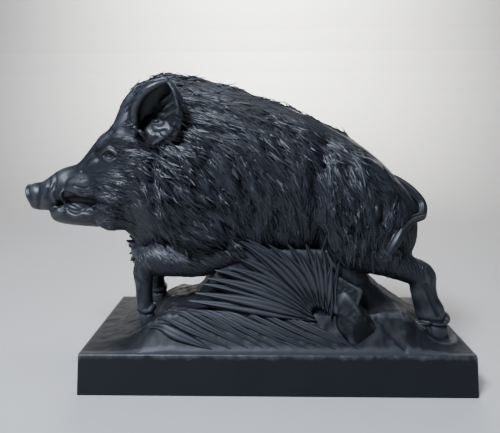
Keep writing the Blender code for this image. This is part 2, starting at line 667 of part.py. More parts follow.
def crisp_forms(flesh):
    """The flesh with its features, and the bank with its plants, as one skin."""
    bm = bmesh.new()
    bm.from_mesh(flesh)
    bpy.data.meshes.remove(flesh)
    add_ellipsoid(bm, NOSE_CENTRE, NOSE_RADII, NOSE_TILT)
    add_breast_tuft(bm)
    add_mane(bm)
    add_limb(bm, TAIL, -1)
    add_bank(bm)
    add_reeds(bm, REEDS, -1)
    add_reeds(bm, FAR_REEDS, 1)
    add_boulder(bm, -1)
    (hock_x, hock_y, hock_z), hock_radii = DEWCLAWS[1]
    add_ellipsoid(bm, (hock_x, -hock_y, hock_z), hock_radii)
    for side in SIDES:
        add_ellipsoid(bm, (EYE_CENTRE[0], side * EYE_CENTRE[1], EYE_CENTRE[2]), (EYE_RADIUS,) * 3)
        add_ear(bm, side)
        add_limb(bm, TUSK, side)
        add_grass_fan(bm, side)
        (x, y, z), radii = DEWCLAWS[0]
        add_ellipsoid(bm, (x, side * y, z), radii)
        for toe in FORE_TOES:
            add_toe(bm, *toe, side)
    for toe in HIND_TOES_BACK:
        add_toe(bm, *toe, -1)
    for toe in HIND_TOES_FORWARD:
        add_toe(bm, *toe, 1)
    return remeshed(bm, CRISP_GRAIN, CRISP_PASSES, "casting")


def keep_largest(bm):
    """Drops whatever is not joined to the main skin, such as pockets of air inside."""
    waiting = set(bm.verts)
    groups = []
    while waiting:
        edge_of_group = [waiting.pop()]
        group = list(edge_of_group)
        while edge_of_group:
            vert = edge_of_group.pop()
            for edge in vert.link_edges:
                other = edge.other_vert(vert)
                if other in waiting:
                    waiting.remove(other)
                    group.append(other)
                    edge_of_group.append(other)
        groups.append(group)
    groups.sort(key=len)
    for group in groups[:-1]:
        bmesh.ops.delete(bm, geom=group, context="VERTS")


def thinned(mesh):
    """The skin alone, with no more triangles than the solid needs."""
    bm = bmesh.new()
    bm.from_mesh(mesh)
    keep_largest(bm)
    bm.to_mesh(mesh)
    bm.free()
    body = bpy.data.objects.new("thinned", mesh)
    bpy.context.scene.collection.objects.link(body)
    triangles = sum(len(face.vertices) - 2 for face in mesh.polygons)
    decimate = body.modifiers.new("thin", "DECIMATE")
    decimate.ratio = TRIANGLES / triangles
    bpy.context.view_layer.update()
    thin = bpy.data.meshes.new_from_object(body.evaluated_get(bpy.context.evaluated_depsgraph_get()))
    bpy.data.objects.remove(body)
    bpy.data.meshes.remove(mesh)
    return thin


def plinth_slab(collection):
    """The rectangular plinth, with the pattern's draft on its sides and its upper edges eased."""
    bm = bmesh.new()
    size = Matrix.Diagonal((PLINTH_LENGTH, PLINTH_DEPTH, PLINTH_HEIGHT, 1))
    bmesh.ops.create_cube(bm, size=1, matrix=Matrix.Translation((0, 0, PLINTH_HEIGHT / 2)) @ size)
    for vert in bm.verts:
        if vert.co.z < PLINTH_HEIGHT / 2:
            vert.co.x += PLINTH_DRAFT * np.sign(vert.co.x)
            vert.co.y += PLINTH_DRAFT * np.sign(vert.co.y)
    eased = [edge for edge in bm.edges if max(vert.co.z for vert in edge.verts) > PLINTH_HEIGHT / 2]
    bmesh.ops.bevel(bm, geom=eased, offset=EDGE_ROUNDING, segments=2, profile=0.5, affect="EDGES")
    mesh = bpy.data.meshes.new(NAME)
    bm.to_mesh(mesh)
    bm.free()
    slab = bpy.data.objects.new(NAME, mesh)
    collection.objects.link(slab)
    return slab


def cast_iron():
    """Black painted iron with a dull sheen."""
    material = bpy.data.materials.new("black_cast_iron")
    material.use_nodes = True
    shader = material.node_tree.nodes["Principled BSDF"]
    shader.inputs["Base Color"].default_value = (0.02, 0.021, 0.024, 1)
    shader.inputs["Roughness"].default_value = 0.42
    shader.inputs["Metallic"].default_value = 0.3
    return material


def main():
    """Builds the casting in a collection of its own, and what is joined into it in another."""
    for old in list(bpy.data.objects):
        bpy.data.objects.remove(old)
    collection = bpy.data.collections.new("cast_iron_boar")
    joined = bpy.data.collections.new("joined_in")
    bpy.context.scene.collection.children.link(collection)
    bpy.context.scene.collection.children.link(joined)
    figure = bpy.data.objects.new("figure_and_bank", thinned(crisp_forms(soft_forms())))
    figure.hide_render = True
    figure.display_type = "WIRE"
    figure.data.shade_smooth()
    joined.objects.link(figure)
    casting = plinth_slab(collection)
    casting.data.materials.append(cast_iron())
    union = casting.modifiers.new("one casting", "BOOLEAN")
    union.operation = "UNION"
    union.object = figure
    casting.data.shade_smooth()
    casting.data.set_sharp_from_angle(angle=np.radians(50))


main()
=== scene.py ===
"""Wild boar bounding over a grassy bank, cast with its plinth in black painted iron.

The figure's tables are in hundredths of the boar's length, as in the part's source: x along the plinth
from its centre, y outwards from the middle plane, z up from the plinth's top.
"""

import logging
from collections.abc import Iterator, Sequence
from dataclasses import dataclass, field
from enum import Enum

import bmesh
import bpy
import numpy as np
from mathutils import Matrix, Vector, noise
from mathutils.bvhtree import BVHTree


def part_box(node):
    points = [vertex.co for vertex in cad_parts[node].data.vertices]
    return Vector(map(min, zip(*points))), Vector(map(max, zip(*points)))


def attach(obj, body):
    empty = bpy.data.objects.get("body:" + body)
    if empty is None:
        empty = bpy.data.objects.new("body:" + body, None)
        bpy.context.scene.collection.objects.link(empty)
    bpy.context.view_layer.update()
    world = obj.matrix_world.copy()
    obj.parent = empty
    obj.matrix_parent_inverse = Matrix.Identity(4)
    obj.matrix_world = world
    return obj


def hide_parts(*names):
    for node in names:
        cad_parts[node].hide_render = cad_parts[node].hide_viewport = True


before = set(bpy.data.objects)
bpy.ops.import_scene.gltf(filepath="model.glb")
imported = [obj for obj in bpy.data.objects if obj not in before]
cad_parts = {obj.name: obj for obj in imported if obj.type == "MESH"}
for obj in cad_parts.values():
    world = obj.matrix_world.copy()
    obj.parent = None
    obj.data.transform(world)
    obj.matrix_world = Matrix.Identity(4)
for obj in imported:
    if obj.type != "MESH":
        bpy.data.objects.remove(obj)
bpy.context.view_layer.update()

NODE = "cast_boar_on_plinth"
VECTOR = "FLOAT_VECTOR"
log = logging.getLogger("boar")

Row = Sequence[float]
Line = Sequence[Row]

# How proud of its neighbours a point stands when its relief is 1, in metres
SKIN_RELIEF = 0.00006
RELIEF = 0.0001

# The least radius of a limb, in the tables' units
THINNEST_LIMB = 0.04

# How soon skin that turns sideways counts as facing sideways
SIDEWAYS_GAIN = 1.8

# The part's own sizes that its box doesn't give
SNOUT_REACH = 60.1
PLINTH_HEIGHT = 0.021
PLINTH_DRAFT = 0.0008
LOW, HIGH = (Vector(corner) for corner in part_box(NODE))
UNIT = -LOW.x / SNOUT_REACH
HALF_LENGTH = HIGH.x - PLINTH_DRAFT
HALF_DEPTH = HIGH.y - PLINTH_DRAFT


def place(x: float, y: float, z: float) -> Vector:
    """A point of the figure's tables as a point in metres."""
    return Vector((x * UNIT, y * UNIT, PLINTH_HEIGHT + z * UNIT))


def ramp(value: np.ndarray | float, start: float, end: float) -> np.ndarray:
    """0 before start, 1 after end, and smooth between them."""
    share = np.clip((value - start) / (end - start), 0, 1)
    return share * share * (3 - 2 * share)


def smooth_line(rows: Line, count: int) -> np.ndarray:
    """Resamples rows along a Catmull-Rom curve.

    Args:
        rows: the rows of numbers that the curve passes through.
        count: how many rows come back.

    Returns:
        The new rows.
    """
    p = np.array(rows, float)
    p = np.vstack([2 * p[0] - p[1], p, 2 * p[-1] - p[-2]])
    spans = len(rows) - 1
    t = np.linspace(0, spans, count)
    i = np.minimum(t.astype(int), spans - 1)
    f = (t - i)[:, None]
    a, b, c, d = p[i], p[i + 1], p[i + 2], p[i + 3]
    return 0.5 * (2 * b + (c - a) * f + (2 * a - 5 * b + 4 * c - d) * f**2 + (3 * b - a - 3 * c + d) * f**3)


def add_loft(bm: bmesh.types.BMesh, rings: Sequence[Sequence[Vector]]) -> None:
    """Adds a closed skin over rings of equal numbers of points."""
    loops = [[bm.verts.new(p) for p in ring] for ring in rings]
    for near, far in zip(loops, loops[1:]):
        for i, vert in enumerate(near):
            j = (i + 1) % len(near)
            bm.faces.new((vert, near[j], far[j], far[i]))
    bm.faces.new(loops[0][::-1])
    bm.faces.new(loops[-1])


def add_ellipsoid(bm: bmesh.types.BMesh, centre: Row, radii: Row, lean: float = 0) -> None:
    """Adds an ellipsoid whose top leans towards the tail by lean degrees."""
    size = Matrix.Diagonal((*(r * UNIT for r in radii), 1))
    matrix = Matrix.Translation(place(*centre)) @ Matrix.Rotation(np.radians(lean), 4, "Y") @ size
    bmesh.ops.create_uvsphere(bm, u_segments=36, v_segments=24, radius=1, matrix=matrix)


def frames_along(points: Sequence[Vector]) -> Iterator[tuple[Vector, Vector, Vector]]:
    """Each point of a line and two directions across it, which turn as little as they can."""
    guide = Vector((0, 1, 0))
    for i, point in enumerate(points):
        along = (points[min(i + 1, len(points) - 1)] - points[max(i - 1, 0)]).normalized()
        up = along.cross(guide).normalized()
        guide = up.cross(along).normalized()
        yield point, up, guide


def add_limb(
    bm: bmesh.types.BMesh, joints: Line, side: int, flattening: float = 1.0, around: int = 20
) -> None:
    """Adds a tapering limb through joints.

    Args:
        bm: takes the limb.
        joints: rows of x, y, z and radius.
        side: -1 for the near flank, 1 for the far one.
        flattening: how wide the section is across the figure, as a share of its height.
        around: corners of the section.
    """
    rows = smooth_line(joints, 7 * len(joints))
    points = [place(x, side * y, z) for x, y, z, _ in rows]
    turn = np.linspace(0, 2 * np.pi, around, endpoint=False)
    rings = []
    for row, (point, up, guide) in zip(rows, frames_along(points)):
        radius = max(row[3], THINNEST_LIMB) * UNIT
        ring = []
        for angle in turn:
            offset = up * np.cos(angle) + guide * np.sin(angle)
            offset.y *= flattening
            ring.append(point + offset * radius)
        rings.append(ring)
    add_loft(bm, rings)


def read_points(mesh: bpy.types.Mesh) -> np.ndarray:
    """The places of a mesh's vertices, in metres."""
    points = np.empty(len(mesh.vertices) * 3, np.float32)
    mesh.vertices.foreach_get("co", points)
    return points.reshape(-1, 3).astype(float)


def read_normals(mesh: bpy.types.Mesh) -> np.ndarray:
    """The normals of a mesh's vertices."""
    normals = np.empty(len(mesh.vertices) * 3, np.float32)
    mesh.vertex_normals.foreach_get("vector", normals)
    return normals.reshape(-1, 3).astype(float)


def sideways(mesh: bpy.types.Mesh) -> np.ndarray:
    """How far each point of a mesh faces sideways, from 0 to 1."""
    return np.clip(np.abs(read_normals(mesh)[:, 1]) * SIDEWAYS_GAIN, 0, 1)


def in_units(points: np.ndarray) -> np.ndarray:
    """Points in metres as points of the figure's tables."""
    return (points - (0, 0, PLINTH_HEIGHT)) / UNIT


def evaluated(piece: bpy.types.Object) -> bpy.types.Mesh:
    """The mesh that a piece's modifiers give, as a plain one."""
    bpy.context.view_layer.update()
    return bpy.data.meshes.new_from_object(piece.evaluated_get(bpy.context.evaluated_depsgraph_get()))


def remeshed(bm: bmesh.types.BMesh, grain: float, passes: int, name: str) -> bpy.types.Mesh:
    """One closed skin round everything in bm.

    Args:
        bm: the forms to join. It is freed.
        grain: how fine the skin is, in metres.
        passes: how often its junctions are eased.
        name: the mesh's name.

    Returns:
        The skin.
    """
    mesh = finished_mesh(bm, name)
    body = bpy.data.objects.new(name, mesh)
    bpy.context.scene.collection.objects.link(body)
    remesh = body.modifiers.new("one skin", "REMESH")
    remesh.mode = "VOXEL"
    remesh.voxel_size = grain
    smooth = body.modifiers.new("ease", "SMOOTH")
    smooth.factor = 0.5
    smooth.iterations = passes
    skin = evaluated(body)
    bpy.data.objects.remove(body)
    bpy.data.meshes.remove(mesh)
    return skin


def finished_mesh(bm: bmesh.types.BMesh, name: str) -> bpy.types.Mesh:
    """A mesh of what bm holds, its faces turned outwards. bm is freed."""
    bmesh.ops.recalc_face_normals(bm, faces=bm.faces)
    mesh = bpy.data.meshes.new(name)
    bm.to_mesh(mesh)
    bm.free()
    return mesh


def without_pockets(mesh: bpy.types.Mesh) -> None:
    """Drops whatever is not joined to the main skin, such as pockets of air inside it."""
    count = len(mesh.vertices)
    edges = np.empty(len(mesh.edges) * 2, np.int32)
    mesh.edges.foreach_get("vertices", edges)
    a, b = edges.reshape(-1, 2).T
    label = np.arange(count)
    while True:
        low = np.minimum(label[a], label[b])
        after = label.copy()
        np.minimum.at(after, a, low)
        np.minimum.at(after, b, low)
        after = after[after]
        if (after == label).all():
            break
        label = after
    main = np.bincount(label).argmax()
    bm = bmesh.new()
    bm.from_mesh(mesh)
    bm.verts.ensure_lookup_table()
    stray = [bm.verts[i] for i in np.flatnonzero(label != main)]
    bmesh.ops.delete(bm, geom=stray, context="VERTS")
    bm.to_mesh(mesh)
    bm.free()


def thinned(mesh: bpy.types.Mesh, triangles: int) -> bpy.types.Mesh:
    """The same skin with no more than a number of triangles."""
    without_pockets(mesh)
    body = bpy.data.objects.new("thinned", mesh)
    bpy.context.scene.collection.objects.link(body)
    now = sum(len(face.vertices) - 2 for face in mesh.polygons)
    if now > triangles:
        decimate = body.modifiers.new("thin", "DECIMATE")
        decimate.ratio = triangles / now
    thin = evaluated(body)
    bpy.data.objects.remove(body)
    bpy.data.meshes.remove(mesh)
    return thin


def distance_to_line(points: np.ndarray, line: np.ndarray) -> np.ndarray:
    """Distance from each point to a line of several stretches."""
    best = np.full(len(points), np.inf)
    for a, b in zip(line, line[1:]):
        along = b - a
        t = np.clip((points - a) @ along / (along @ along), 0, 1)
        best = np.minimum(best, np.linalg.norm(points - a - t[:, None] * along, axis=1))
    return best


@dataclass(frozen=True)
class Stroke:
    """One stroke of the carving tool, seen from the side.

    A negative depth raises a bead. clear is the least distance from the middle plane.
    """

    path: Line
    half_width: float
    depth: float
    clear: float = 1.0
    sides: tuple[int, ...] = (-1, 1)

    def cut(self, figure: np.ndarray, facing: np.ndarray, offset: np.ndarray) -> None:
        """Adds the stroke's depth to offset.

        Args:
            figure: the skin's points, in the tables' units.
            facing: how far each point faces sideways.
            offset: how far each point moves out, in the tables' units.
        """
        line = smooth_line(self.path, 5 * len(self.path))
        view = figure[:, (0, 2)]
        near = np.abs(figure[:, 1]) > self.clear
        near &= np.isin(np.sign(figure[:, 1]), self.sides)
        near &= (view > line.min(0) - 3 * self.half_width).all(1)
        near &= (view < line.max(0) + 3 * self.half_width).all(1)
        away = distance_to_line(view[near], line) / self.half_width
        offset[near] -= self.depth * np.exp(-(away**2)) * facing[near]


def work_surface(mesh: bpy.types.Mesh, offset: np.ndarray) -> None:
    """Moves each point of a skin out along its normal by offset, in the tables' units."""
    points = read_points(mesh) + read_normals(mesh) * (offset * UNIT)[:, None]
    mesh.vertices.foreach_set("co", points.astype(np.float32).ravel())
    mesh.update()


def store_relief(mesh: bpy.types.Mesh, reach: float) -> None:
    """Keeps how proud each point stands of its neighbours, from -1 in a hollow to 1 on a crest."""
    edges = np.empty(len(mesh.edges) * 2, np.int32)
    mesh.edges.foreach_get("vertices", edges)
    a, b = edges.reshape(-1, 2).T
    points, normals = read_points(mesh), read_normals(mesh)
    count = np.maximum(np.bincount(a, minlength=len(points)) + np.bincount(b, minlength=len(points)), 1)
    bulge = np.zeros(len(points))
    step = points[b] - points[a]
    np.add.at(bulge, a, -(step * normals[a]).sum(1))
    np.add.at(bulge, b, (step * normals[b]).sum(1))
    bulge /= count
    for _ in range(3):
        total = np.bincount(a, bulge[b], len(points)) + np.bincount(b, bulge[a], len(points))
        bulge = 0.5 * bulge + 0.5 * total / count
    # Nothing rubs the plinth's foot
    bulge *= ramp(points[:, 2], 0.003, 0.006)
    attribute = mesh.attributes.new("relief", "FLOAT", "POINT")
    attribute.data.foreach_set("value", np.clip(bulge / reach, -1, 1).astype(np.float32))


class Wiring:
    """A node tree under construction, with short ways to add and join its nodes."""

    def __init__(self, tree: bpy.types.NodeTree) -> None:
        """Starts on an empty tree."""
        self.tree = tree

    def add(self, kind: str, settings: dict | None = None, **inputs: object) -> bpy.types.Node:
        """Adds a node.

        Args:
            kind: the node's type.
            settings: its own properties.
            inputs: sockets by name, with _ for a space: a value, or the output that feeds them.

        Returns:
            The node.
        """
        node = self.tree.nodes.new(kind)
        for name, value in (settings or {}).items():
            setattr(node, name, value)
        for name, value in inputs.items():
            self.feed(next(s for s in node.inputs if s.enabled and s.name == name.replace("_", " ")), value)
        return node

    def feed(self, socket: bpy.types.NodeSocket, value: object) -> None:
        """Joins an output to a socket, or sets the socket's own value."""
        if isinstance(value, bpy.types.NodeSocket):
            self.tree.links.new(value, socket)
        else:
            socket.default_value = value

    def math(self, operation: str, *values: object) -> bpy.types.NodeSocket:
        """The output of a Math node on one, two or three values."""
        node = self.tree.nodes.new("ShaderNodeMath")
        node.operation = operation
        for socket, value in zip(node.inputs, values):
            self.feed(socket, value)
        return node.outputs[0]

    def vector(self, operation: str, *values: object) -> bpy.types.NodeSocket:
        """The output of a Vector Math node."""
        node = self.tree.nodes.new("ShaderNodeVectorMath")
        node.operation = operation
        for socket, value in zip(node.inputs, values):
            self.feed(socket, value)
        return next(s for s in node.outputs if s.enabled)

    def scaled(self, value: bpy.types.NodeSocket, factor: object) -> bpy.types.NodeSocket:
        """A vector times a number."""
        node = self.tree.nodes.new("ShaderNodeVectorMath")
        node.operation = "SCALE"
        self.feed(node.inputs[0], value)
        self.feed(node.inputs["Scale"], factor)
        return node.outputs[0]

    def store(
        self, geometry: bpy.types.NodeSocket, name: str, value: bpy.types.NodeSocket, kind: str
    ) -> bpy.types.NodeSocket:
        """The geometry with a value kept on its points under a name."""
        settings = {"data_type": kind, "domain": "POINT"}
        return self.add(
            "GeometryNodeStoreNamedAttribute", settings, Geometry=geometry, Name=name, Value=value
        ).outputs[0]

    def float_output(self, node: bpy.types.Node) -> bpy.types.NodeSocket:
        """The number that a node with outputs of several kinds puts out."""
        return next(s for s in node.outputs if s.enabled and s.type == "VALUE")

    def named(self, name: object, kind: str = "FLOAT") -> bpy.types.NodeSocket:
        """The output of a Named Attribute node."""
        node = self.add("GeometryNodeInputNamedAttribute", {"data_type": kind}, Name=name)
        return next(s for s in node.outputs if s.enabled and s.name == "Attribute")


# Corners of a blade's section from one edge to the other: across, and out towards the rib
BLADE_SECTION = (
    (1, -0.1),
    (0.72, 0.42),
    (0.42, 0.40),
    (0.16, 1.0),
    (-0.1, 0.95),
    (-0.42, 0.32),
    (-0.74, 0.34),
    (-1, -0.15),
)


@dataclass(frozen=True)
class Leaf:
    """A blade with a raised rib between two grooves, running to a point."""

    half_width: float
    keel: float
    blunt: float = 0.12
    rings: int = 26
    thinnest: float = 0.03

    def add(self, bm: bmesh.types.BMesh, path: Line, outward: Vector) -> None:
        """Adds the blade.

        Args:
            bm: takes the blade.
            path: points of its middle line, from the root to the tip.
            outward: the direction that its rib faces.
        """
        points = [place(*p) for p in smooth_line(path, self.rings)]
        rings = []
        for i, point in enumerate(points):
            share = i / (self.rings - 1)
            swell = self.blunt + (1 - self.blunt) * ramp(share, 0, 0.4)
            taper = min(1.0, 1.9 * (1 - share)) ** 0.8
            half = max(self.thinnest, self.half_width * swell * taper) * UNIT
            rise = max(self.thinnest, self.keel * (0.35 + 0.65 * taper) * min(swell + 0.2, 1.0)) * UNIT
            along = (points[min(i + 1, self.rings - 1)] - points[max(i - 1, 0)]).normalized()
            across = along.cross(outward).normalized()
            out = across.cross(along).normalized()
            ring = [point + across * half * x + out * rise * z for x, z in BLADE_SECTION]
            rings.append([*ring, point - out * rise])
        add_loft(bm, rings)


class Surface:
    """Finds where a skin lies, seen from the side.

    It looks inwards from beyond, and answers missed where there is no skin, in the tables' units.
    """

    beyond = 30
    missed = 3.0

    def __init__(self, mesh: bpy.types.Mesh) -> None:
        """Reads the skin."""
        faces = [face.vertices[:] for face in mesh.polygons]
        self.tree = BVHTree.FromPolygons([vert.co[:] for vert in mesh.vertices], faces)

    def at(self, x: float, z: float, side: int, lift: float = 0.0) -> tuple[float, float, float]:
        """The point of the skin at x and z on one side, and lift further out, in the tables' units."""
        start = place(x, side * self.beyond, z)
        hit = self.tree.ray_cast(start, Vector((0, -side, 0)))[0]
        y = hit.y / UNIT if hit else side * self.missed
        return x, y + side * lift, z


@dataclass(frozen=True)
class Locks:
    """Single locks of hair, placed where the carver drew them.

    Each is x, z, degrees below the horizontal, length, half width and height.
    """

    rows: Line = (
        (-25.0, 41.0, 40, 5.0, 1.0, 0.9),
        (-25.9, 38.6, 48, 5.2, 1.05, 1.0),
        (-26.1, 36.2, 52, 5.6, 1.1, 1.0),
        (-26.0, 33.8, 55, 5.6, 1.1, 1.0),
        (-25.6, 31.4, 55, 5.6, 1.1, 1.0),
        (-25.0, 29.2, 50, 5.6, 1.05, 1.0),
        (-23.8, 27.2, 42, 5.4, 1.0, 0.9),
        (-22.0, 25.4, 32, 5.4, 1.0, 0.9),
        (-19.6, 24.2, 22, 5.0, 0.9, 0.8),
        (-22.4, 39.6, 50, 4.6, 0.9, 0.7),
        (-22.8, 36.8, 58, 4.8, 0.9, 0.8),
        (-22.6, 33.6, 60, 4.8, 0.9, 0.8),
        (-22.0, 30.4, 55, 4.8, 0.9, 0.8),
        (-16.6, 41.0, 70, 4.4, 0.85, 0.7),
        (-18.2, 39.4, 85, 4.2, 0.8, 0.7),
        (-15.2, 37.6, 60, 4.2, 0.9, 0.8),
        (-13.6, 40.4, 52, 4.4, 0.85, 0.7),
        (-16.8, 34.2, 48, 4.4, 0.9, 0.8),
        (-13.4, 34.0, 40, 4.6, 0.9, 0.8),
        (-9.8, 36.8, 62, 4.6, 0.9, 0.7),
        (-6.6, 33.2, 66, 4.6, 0.95, 0.8),
        (-10.4, 31.0, 58, 4.4, 0.9, 0.7),
        (-34.4, 43.0, 12, 2.6, 0.55, 0.5),
        (-34.2, 41.5, 5, 3.0, 0.55, 0.55),
        (-33.6, 40.0, 0, 3.0, 0.55, 0.55),
        (-34.4, 38.4, 8, 3.0, 0.6, 0.5),
        (-37.6, 37.0, 4, 3.6, 0.6, 0.55),
        (-37.0, 35.6, 8, 4.2, 0.65, 0.6),
        (-38.4, 34.2, 6, 4.2, 0.6, 0.55),
        (-36.6, 33.0, 16, 4.0, 0.6, 0.55),
        (-41.8, 35.8, -4, 3.6, 0.5, 0.4),
        (-42.6, 34.4, 2, 3.8, 0.5, 0.4),
        (-32.8, 36.9, -6, 2.6, 0.5, 0.5),
        (-31.6, 35.4, 18, 3.0, 0.6, 0.5),
        (0.6, 37.0, 60, 4.6, 0.95, 0.7),
        (3.4, 33.0, 74, 4.4, 0.95, 0.7),
        (5.4, 40.6, 52, 4.6, 0.9, 0.7),
        (-2.4, 29.4, 76, 4.4, 0.95, 0.8),
        (13.0, 36.4, 78, 4.6, 0.95, 0.8),
        (15.6, 33.2, 70, 4.4, 0.9, 0.8),
        (12.6, 31.2, 86, 4.6, 0.95, 0.8),
        (18.4, 36.0, 74, 4.6, 0.9, 0.7),
        (17.4, 28.6, 80, 4.4, 0.9, 0.8),
        (21.6, 31.8, 84, 4.4, 0.9, 0.7),
        (14.8, 26.6, 62, 4.0, 0.85, 0.7),
        (-19.4, 18.9, 42, 3.4, 0.5, 0.45),
        (-21.2, 19.0, 42, 3.4, 0.5, 0.45),
        (-23.2, 19.0, 44, 3.4, 0.5, 0.45),
        (-25.2, 18.8, 46, 3.2, 0.5, 0.45),
        (-17.4, 19.0, 40, 3.4, 0.5, 0.45),
    )

    def add(self, bm: bmesh.types.BMesh, surface: Surface, side: int) -> None:
        """Lays the locks on one side of the skin."""
        for number, (x, z, slope, length, half_width, height) in enumerate(self.rows):
            angle = np.radians(slope)
            curl = 0.35 * np.sin(number * 2.4)
            path = []
            for step in np.linspace(0, 1, 5):
                turn = angle + curl * (step - 0.5)
                along = length * step
                lift = height * (-0.6 + 0.75 * ramp(step, 0.0, 0.5))
                path.append(surface.at(x + along * np.cos(turn), z - along * np.sin(turn), side, lift))
            Leaf(half_width, height * 0.8, 0.5, 16).add(bm, path, Vector((0, side, 0)))


@dataclass(frozen=True)
class Ear:
    """A cupped ear between its front and back rims."""

    front_rim: Line = (
        (-29.6, 10.4, 45.6),
        (-31.0, 11.6, 50.0),
        (-29.8, 12.2, 54.2),
        (-26.8, 12.4, 57.0),
        (-22.8, 12.2, 58.1),
    )
    back_rim: Line = (
        (-25.6, 11.0, 43.9),
        (-21.8, 12.6, 46.4),
        (-20.4, 13.2, 50.4),
        (-20.8, 12.9, 54.6),
        (-22.6, 12.2, 57.7),
    )
    cup: float = 4.4
    thickness: float = 1.0
    front_roll: Line = (
        (-29.9, 10.6, 46.8, 0.45),
        (-30.3, 11.6, 49.6, 0.75),
        (-29.8, 12.1, 52.6, 0.95),
        (-28.1, 12.5, 55.2, 0.95),
        (-25.5, 12.6, 57.0, 0.8),
        (-23.0, 12.3, 57.9, 0.4),
    )
    back_roll: Line = (
        (-26.6, 11.0, 44.3, 0.5),
        (-22.4, 12.5, 47.2, 0.45),
        (-20.7, 13.1, 51.2, 0.42),
        (-21.3, 12.8, 55.2, 0.42),
        (-22.8, 12.3, 57.7, 0.35),
    )
    hairs: Line = (
        (-24.6, 51.8, -30, 3.4),
        (-24.6, 50.0, -28, 3.6),
        (-25.2, 53.4, -34, 3.0),
    )
    knot: Line = (
        (-31.6, 48.8, 70, 3.0),
        (-30.8, 48.9, 84, 3.4),
        (-30.0, 48.4, 98, 3.0),
        (-29.2, 47.6, 60, 2.6),
    )
    hair_lift: float = 0.35
    knot_out: float = 12.0
    knot_bow: float = 1.2

    def straight(self, row: Row) -> list[tuple[float, float, float]]:
        """Steps from 0 to 1 along one hair, each with its x and z."""
        x, z, slope, length = row
        angle = np.radians(slope)
        steps = np.linspace(0, 1, 4)
        return [(s, x + length * s * np.cos(angle), z - length * s * np.sin(angle)) for s in steps]

    def cup_point(self, front: np.ndarray, back: np.ndarray, up: float, share: float) -> tuple[float, ...]:
        """A point of the cup, up from root to tip and share of the way from the front rim to the back."""
        depth = self.cup * abs(np.sin(np.pi * (0.24 + 0.76 * up))) ** 0.8
        x, y, z = front * (1 - share) + back * share
        inward = depth * abs(np.sin(np.pi * share**0.75)) ** 0.7
        return x - inward * 0.15, y - inward, z

    def add(self, bm: bmesh.types.BMesh, side: int) -> None:
        """Adds the ear, its rolled rim, the knot at its root and the hair inside it."""
        rows, columns = 40, 26
        front, back = smooth_line(self.front_rim, rows), smooth_line(self.back_rim, rows)
        ear = bmesh.new()
        grid = []
        for i in range(rows):
            line = []
            for j in range(columns):
                x, y, z = self.cup_point(front[i], back[i], i / (rows - 1), j / (columns - 1))
                line.append(ear.verts.new(place(x, side * y, z)))
            grid.append(line)
        for a, b in zip(grid, grid[1:]):
            for j in range(columns - 1):
                quad = (a[j], a[j + 1], b[j + 1], b[j])
                ear.faces.new(quad if side < 0 else quad[::-1])
        ear.normal_update()
        bmesh.ops.solidify(ear, geom=ear.faces[:], thickness=self.thickness * UNIT)
        mesh = bpy.data.meshes.new("ear")
        ear.to_mesh(mesh)
        ear.free()
        bm.from_mesh(mesh)
        bpy.data.meshes.remove(mesh)
        add_limb(bm, self.front_roll, side, around=14)
        add_limb(bm, self.back_roll, side, around=10)
        cup = np.array([
            self.cup_point(front[k], back[k], k / (rows - 1), share)
            for k in range(rows)
            for share in np.linspace(0, 1, columns)
        ])
        for row in self.hairs:
            path = []
            for _, x, z in self.straight(row):
                nearest = cup[np.hypot(cup[:, 0] - x, cup[:, 2] - z).argmin()]
                path.append((x, side * (nearest[1] + self.hair_lift), z))
            Leaf(0.55, 0.45, 0.5, 14).add(bm, path, Vector((0, side, 0)))
        for row in self.knot:
            bows = [(x, self.knot_out - self.knot_bow * step**2, z) for step, x, z in self.straight(row)]
            path = [(x, side * y, z) for x, y, z in bows]
            Leaf(0.6, 0.7, 0.6, 14).add(bm, path, Vector((0, side, 0)))


@dataclass(frozen=True)
class Tail:
    """A grooved cord of hair that hugs the rump and folds forward over the near haunch."""

    path: Line = (
        (25.0, 0.0, 36.5, 1.2),
        (29.0, 0.6, 35.0, 1.35),
        (32.6, 1.2, 32.4, 1.35),
        (34.8, 2.0, 29.6, 1.3),
        (34.2, 4.2, 27.4, 1.15),
        (31.8, 6.6, 27.1, 1.2),
        (29.6, 8.4, 26.6, 1.3),
        (27.7, 9.5, 25.0, 1.45),
        (26.3, 10.2, 22.8, 1.6),
        (25.0, 10.6, 20.6, 1.2),
        (24.0, 10.8, 18.8, 0.3),
    )
    grooves: int = 7
    groove_depth: float = 0.2
    twist: float = 0.9
    rings: int = 110
    around: int = 42

    def build(self) -> bpy.types.Mesh:
        """Makes the cord on the near side."""
        rows = smooth_line(self.path, self.rings)
        points = [place(x, -y, z) for x, y, z, _ in rows]
        turn = np.linspace(0, 2 * np.pi, self.around, endpoint=False)
        rings = []
        for i, (point, up, guide) in enumerate(frames_along(points)):
            phase = self.twist * np.pi * i / self.rings
            groove = np.abs(np.sin(self.grooves / 2 * turn + phase))
            radii = rows[i][3] * UNIT * (1 - self.groove_depth * groove)
            rings.append([point + (up * np.cos(a) + guide * np.sin(a)) * r for a, r in zip(turn, radii)])
        bm = bmesh.new()
        add_loft(bm, rings)
        return finished_mesh(bm, "tail")


